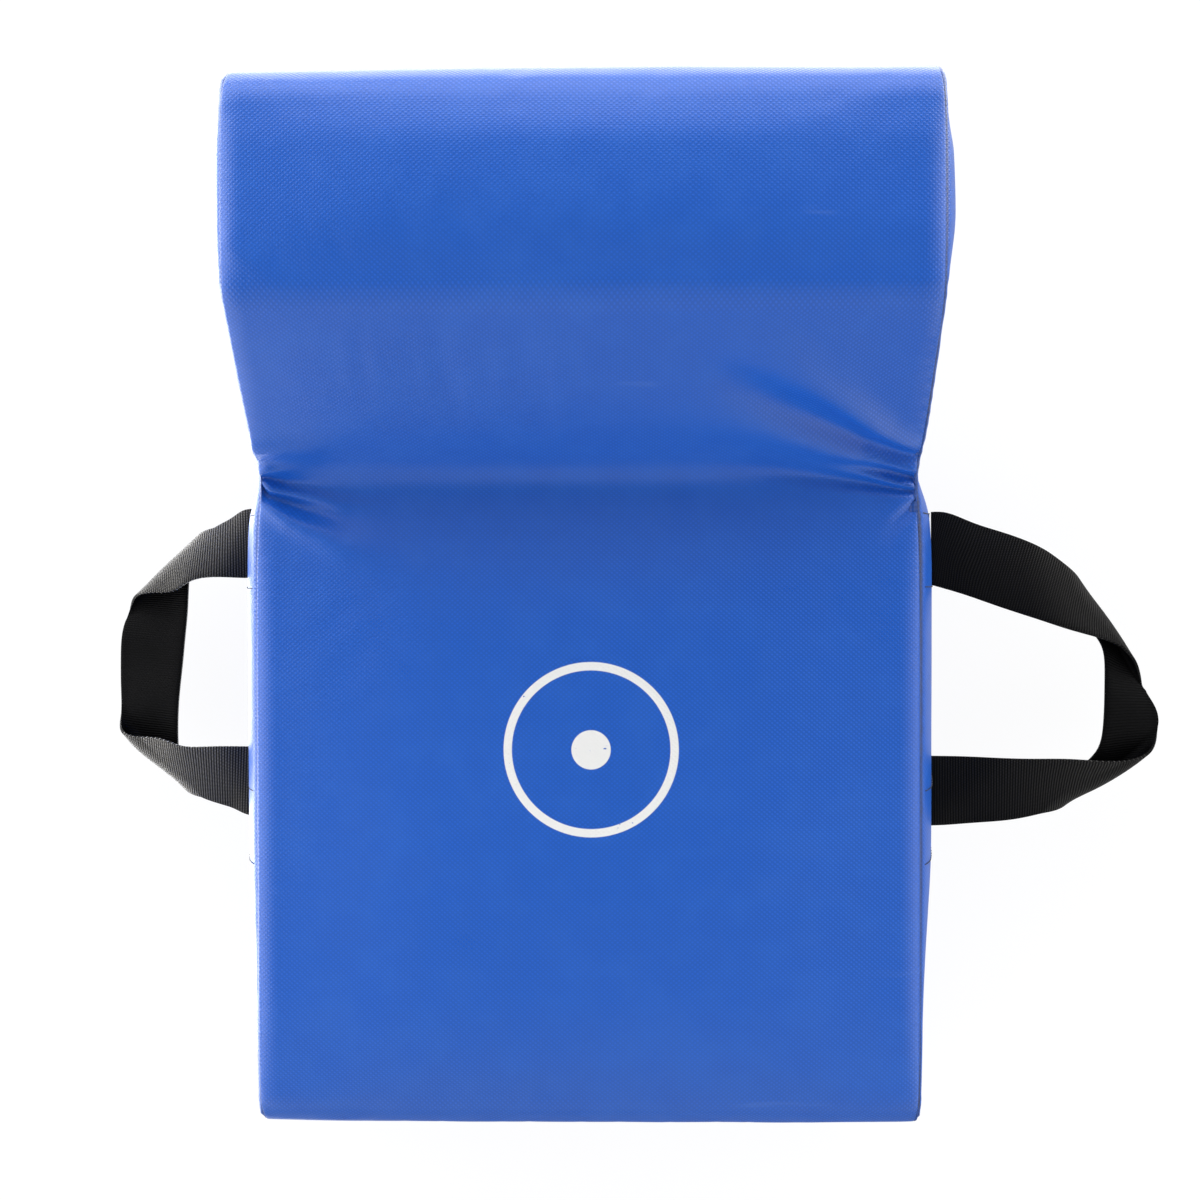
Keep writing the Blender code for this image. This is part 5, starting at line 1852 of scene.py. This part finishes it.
class SHIELD_OT_vents(bpy.types.Operator):
    """Turns the eyelets and washers of the vents in the top end"""

    bl_idname = "shield.vents"
    bl_label = "Vents"

    def execute(self, context):
        chosen = settings()
        material = nickel_finish(chosen.colours, "vent nickel", 0.20)
        for number in range(1, chosen.vents.count + 1):
            for word, section_of in (("eyelet", self.eyelet), ("washer", self.washer)):
                node = "vent_%s_%d" % (word, number)
                low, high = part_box(node)
                bm = self.turned(section_of(chosen.vents, low.y, high.y), (low + high) / 2)
                item = piece(node + "_ring", bm, material)
                item.data.set_sharp_from_angle(angle=SHADING_ANGLE)
                dress(item, "pad", "vent_nickel", (node,))
        return {"FINISHED"}

    def eyelet(self, sizes, low, high):
        """Radius and Y round a section whose outer flange is rounded like a rolled rim."""
        thick = sizes.flange_thickness
        lip = sizes.barrel + thick
        section = [
            (sizes.bore, low), (lip, low), (lip, low + thick), (sizes.barrel, low + thick),
            (sizes.barrel, high - thick), (sizes.flange, high - thick),
        ]
        angles = [math.pi / 2 * step / RIM_STEPS for step in range(1, RIM_STEPS)]
        rim = [(thick * (1 - math.cos(angle)), thick * (1 - math.sin(angle))) for angle in angles]
        section += [(sizes.flange - short, high - drop) for short, drop in rim]
        section.append(((sizes.flange + sizes.bore) / 2, high))
        section += [(sizes.bore + short, high - drop) for drop, short in rim]
        section.append((sizes.bore, high - thick))
        return section

    def washer(self, sizes, low, high):
        hole = sizes.barrel + WASHER_GAP
        return [(hole, low), (sizes.flange, low), (sizes.flange, high), (hole, high)]

    def turned(self, section, middle):
        bm = bmesh.new()
        verts = [bm.verts.new((middle.x + radius, y, middle.z)) for radius, y in section]
        edges = [bm.edges.new((verts[i], verts[(i + 1) % len(verts)])) for i in range(len(verts))]
        bmesh.ops.spin(
            bm, geom=verts + edges, cent=(middle.x, 0, middle.z), axis=(0, 1, 0),
            angle=math.tau, steps=TURN_STEPS, use_merge=True,
        )
        bmesh.ops.remove_doubles(bm, verts=bm.verts, dist=0.000001)
        bmesh.ops.recalc_face_normals(bm, faces=bm.faces)
        return bm


# The place, width and depth of each lamp, and the place that they all point at.
LAMPS = {
    "key": ((-1.7, 0.3, 1.25), 2.4, 0.9),
    "top": ((0.1, 1.9, 1.5), 2.2, 0.9),
    "fill": ((1.7, -0.4, 1.5), 1.6, 1.2),
    "foot": ((0.2, -1.5, 2.1), 2.0, 1.2),
}
LAMP_AIM = Vector((0, 0.1, 0.1))
FLOOR_SHADE = (0.90, 0.90, 0.90)
FLOOR_LEVEL = 1.06
WHITE = (1, 1, 1, 1)


class SHIELD_OT_stage(bpy.types.Operator):
    """Sets the pale floor, the sky, the soft lamps and the camera"""

    bl_idname = "shield.stage"
    bl_label = "Stage"

    def execute(self, context):
        chosen = settings()
        stage = chosen.stage
        scene = context.scene
        scene.view_settings.view_transform = "Standard"
        bm = bmesh.new()
        bmesh.ops.create_grid(bm, x_segments=1, y_segments=1, size=stage.floor_size / 2)
        bmesh.ops.translate(bm, verts=bm.verts, vec=(0, 0, -stage.floor_drop))
        floor = piece("studio_floor", bm, self.floor_finish(chosen))
        self.sky(scene, stage)
        for word, (place, width, depth) in LAMPS.items():
            self.lamp(word + "_lamp", place, width, depth, getattr(stage, word + "_power"))
        data = bpy.data.cameras.new("photo_camera")
        data.lens = stage.camera_lens
        data.sensor_width = SENSOR_WIDTH
        data.dof.use_dof = False
        camera = bpy.data.objects.new("photo_camera", data)
        scene.collection.objects.link(camera)
        camera.matrix_world = camera_matrix(stage)
        scene.camera = camera
        return {"FINISHED"}

    def floor_finish(self, chosen):
        """A pale floor that reads white and shines in reflections on the left and beyond the head."""
        finish = Finish("studio floor")
        seen, glossy, through = finish.rays("Is Camera Ray", "Is Glossy Ray", "Is Transmission Ray")
        x, y, _ = finish.parts(finish.place())
        grain = finish.cloud(2.0, 2.0)
        tone = finish.blend(grain * 0.2, chosen.colours.floor, FLOOR_SHADE)
        body = finish.node("ShaderNodeBsdfDiffuse", Color=tone)
        white = finish.node("ShaderNodeEmission", Color=WHITE, Strength=FLOOR_LEVEL)
        away = finish.between(finish.maths("SQRT", x * x + y * y), 0.55, 1.5)
        share = chosen.stage.floor_white
        plain = finish.most(seen * (share + away * (1 - share)), through)
        shown = finish.node("ShaderNodeMixShader", input0=plain, input1=body, input2=white)
        beside = finish.absolute(x)
        close = finish.between(beside, 0.10, 0.26) * (1 - finish.between(beside, 0.42, 0.80))
        close = close * (x < 0.0) * (1 - finish.between(finish.absolute(y), 0.35, 0.60))
        beyond = finish.between(y, 0.44, 0.62) * (1 - finish.between(y, 0.80, 1.30)) * 0.60
        above_foot = finish.between(y, -0.42, -0.16)
        lit = finish.least(close * above_foot + beyond + 0.04 + 0.05 * above_foot, 1.0)
        gleam = finish.node(
            "ShaderNodeEmission", Color=finish.blend(lit, (0, 0, 0), (1, 1, 1)),
            Strength=chosen.stage.floor_gleam,
        )
        shown = finish.node("ShaderNodeMixShader", input0=glossy, input1=shown, input2=gleam)
        finish.node("ShaderNodeOutputMaterial", Surface=shown)
        return finish.material

    def sky(self, scene, stage):
        """A sky that is dim overhead and bright low down on the left and beyond the head."""
        world = bpy.data.worlds.new("studio_sky")
        world.use_nodes = True
        sky = Finish("sky", world.node_tree)
        x, y, up = sky.parts(sky.node("ShaderNodeTexCoord", output=0))
        low = 1 - sky.between(up, 0.10, 0.80)
        glow = stage.haze + sky.between(0 - x, 0.15, 0.9) * stage.left_glow
        glow = glow + sky.between(y, 0.10, 0.85) * stage.top_glow
        glow = glow + sky.between(x, 0.15, 0.9) * stage.right_glow
        above = sky.between(y, -0.10, 0.60) * 0.26 + sky.between(0 - x, 0.0, 0.6) * 0.18
        above = above + sky.between(x, 0.1, 0.7) * 0.12
        foot = sky.between(0 - y, 0.05, 0.8) * stage.foot_glow
        level = stage.zenith + low * glow + above + foot
        seen = sky.rays("Is Camera Ray")[0]
        shade = sky.node("ShaderNodeBackground", Color=WHITE, Strength=level)
        white = sky.node("ShaderNodeBackground", Color=WHITE, Strength=1.0)
        both = sky.node("ShaderNodeMixShader", input0=seen, input1=shade, input2=white)
        sky.node("ShaderNodeOutputWorld", Surface=both)
        scene.world = world

    def lamp(self, name, place, width, depth, power):
        data = bpy.data.lights.new(name, "AREA")
        data.shape = "RECTANGLE"
        data.size = width
        data.size_y = depth
        data.energy = power
        item = bpy.data.objects.new(name, data)
        bpy.context.scene.collection.objects.link(item)
        turn = (LAMP_AIM - Vector(place)).to_track_quat("-Z", "Y").to_matrix().to_4x4()
        item.matrix_world = Matrix.Translation(place) @ turn


class SHIELD_PT_panel(bpy.types.Panel):
    """Sizes, colours and steps of the tackle shield"""

    bl_idname = "SHIELD_PT_panel"
    bl_label = "Tackle Shield"
    bl_space_type = "VIEW_3D"
    bl_region_type = "UI"
    bl_category = "Shield"

    def draw(self, context):
        chosen = context.scene.tackle_shield
        for operator in OPERATORS:
            self.layout.operator(operator.bl_idname)
        groups = (
            chosen.pad, chosen.handles, chosen.zip, chosen.vents, chosen.colours, chosen.stage
        )
        for group in groups:
            column = self.layout.column()
            for name in group.bl_rna.properties.keys():
                if name not in ("rna_type", "name"):
                    column.prop(group, name)


GROUPS = (
    PadSizes, HandleSizes, ZipSizes, VentSizes, ShieldColours, StageSettings, ShieldSettings
)
OPERATORS = (
    SHIELD_OT_cover_faces,
    SHIELD_OT_cover_sides,
    SHIELD_OT_foam,
    SHIELD_OT_handles,
    SHIELD_OT_anchors,
    SHIELD_OT_zip,
    SHIELD_OT_vents,
    SHIELD_OT_stage,
)


def register():
    for item in GROUPS + OPERATORS + (SHIELD_PT_panel,):
        bpy.utils.register_class(item)
    bpy.types.Scene.tackle_shield = PointerProperty(type=ShieldSettings)


def unregister():
    del bpy.types.Scene.tackle_shield
    for item in reversed(GROUPS + OPERATORS + (SHIELD_PT_panel,)):
        bpy.utils.unregister_class(item)


def main():
    register()
    for operator in OPERATORS:
        space, name = operator.bl_idname.split(".")
        getattr(getattr(bpy.ops, space), name)()


if __name__ == "__main__":
    main()
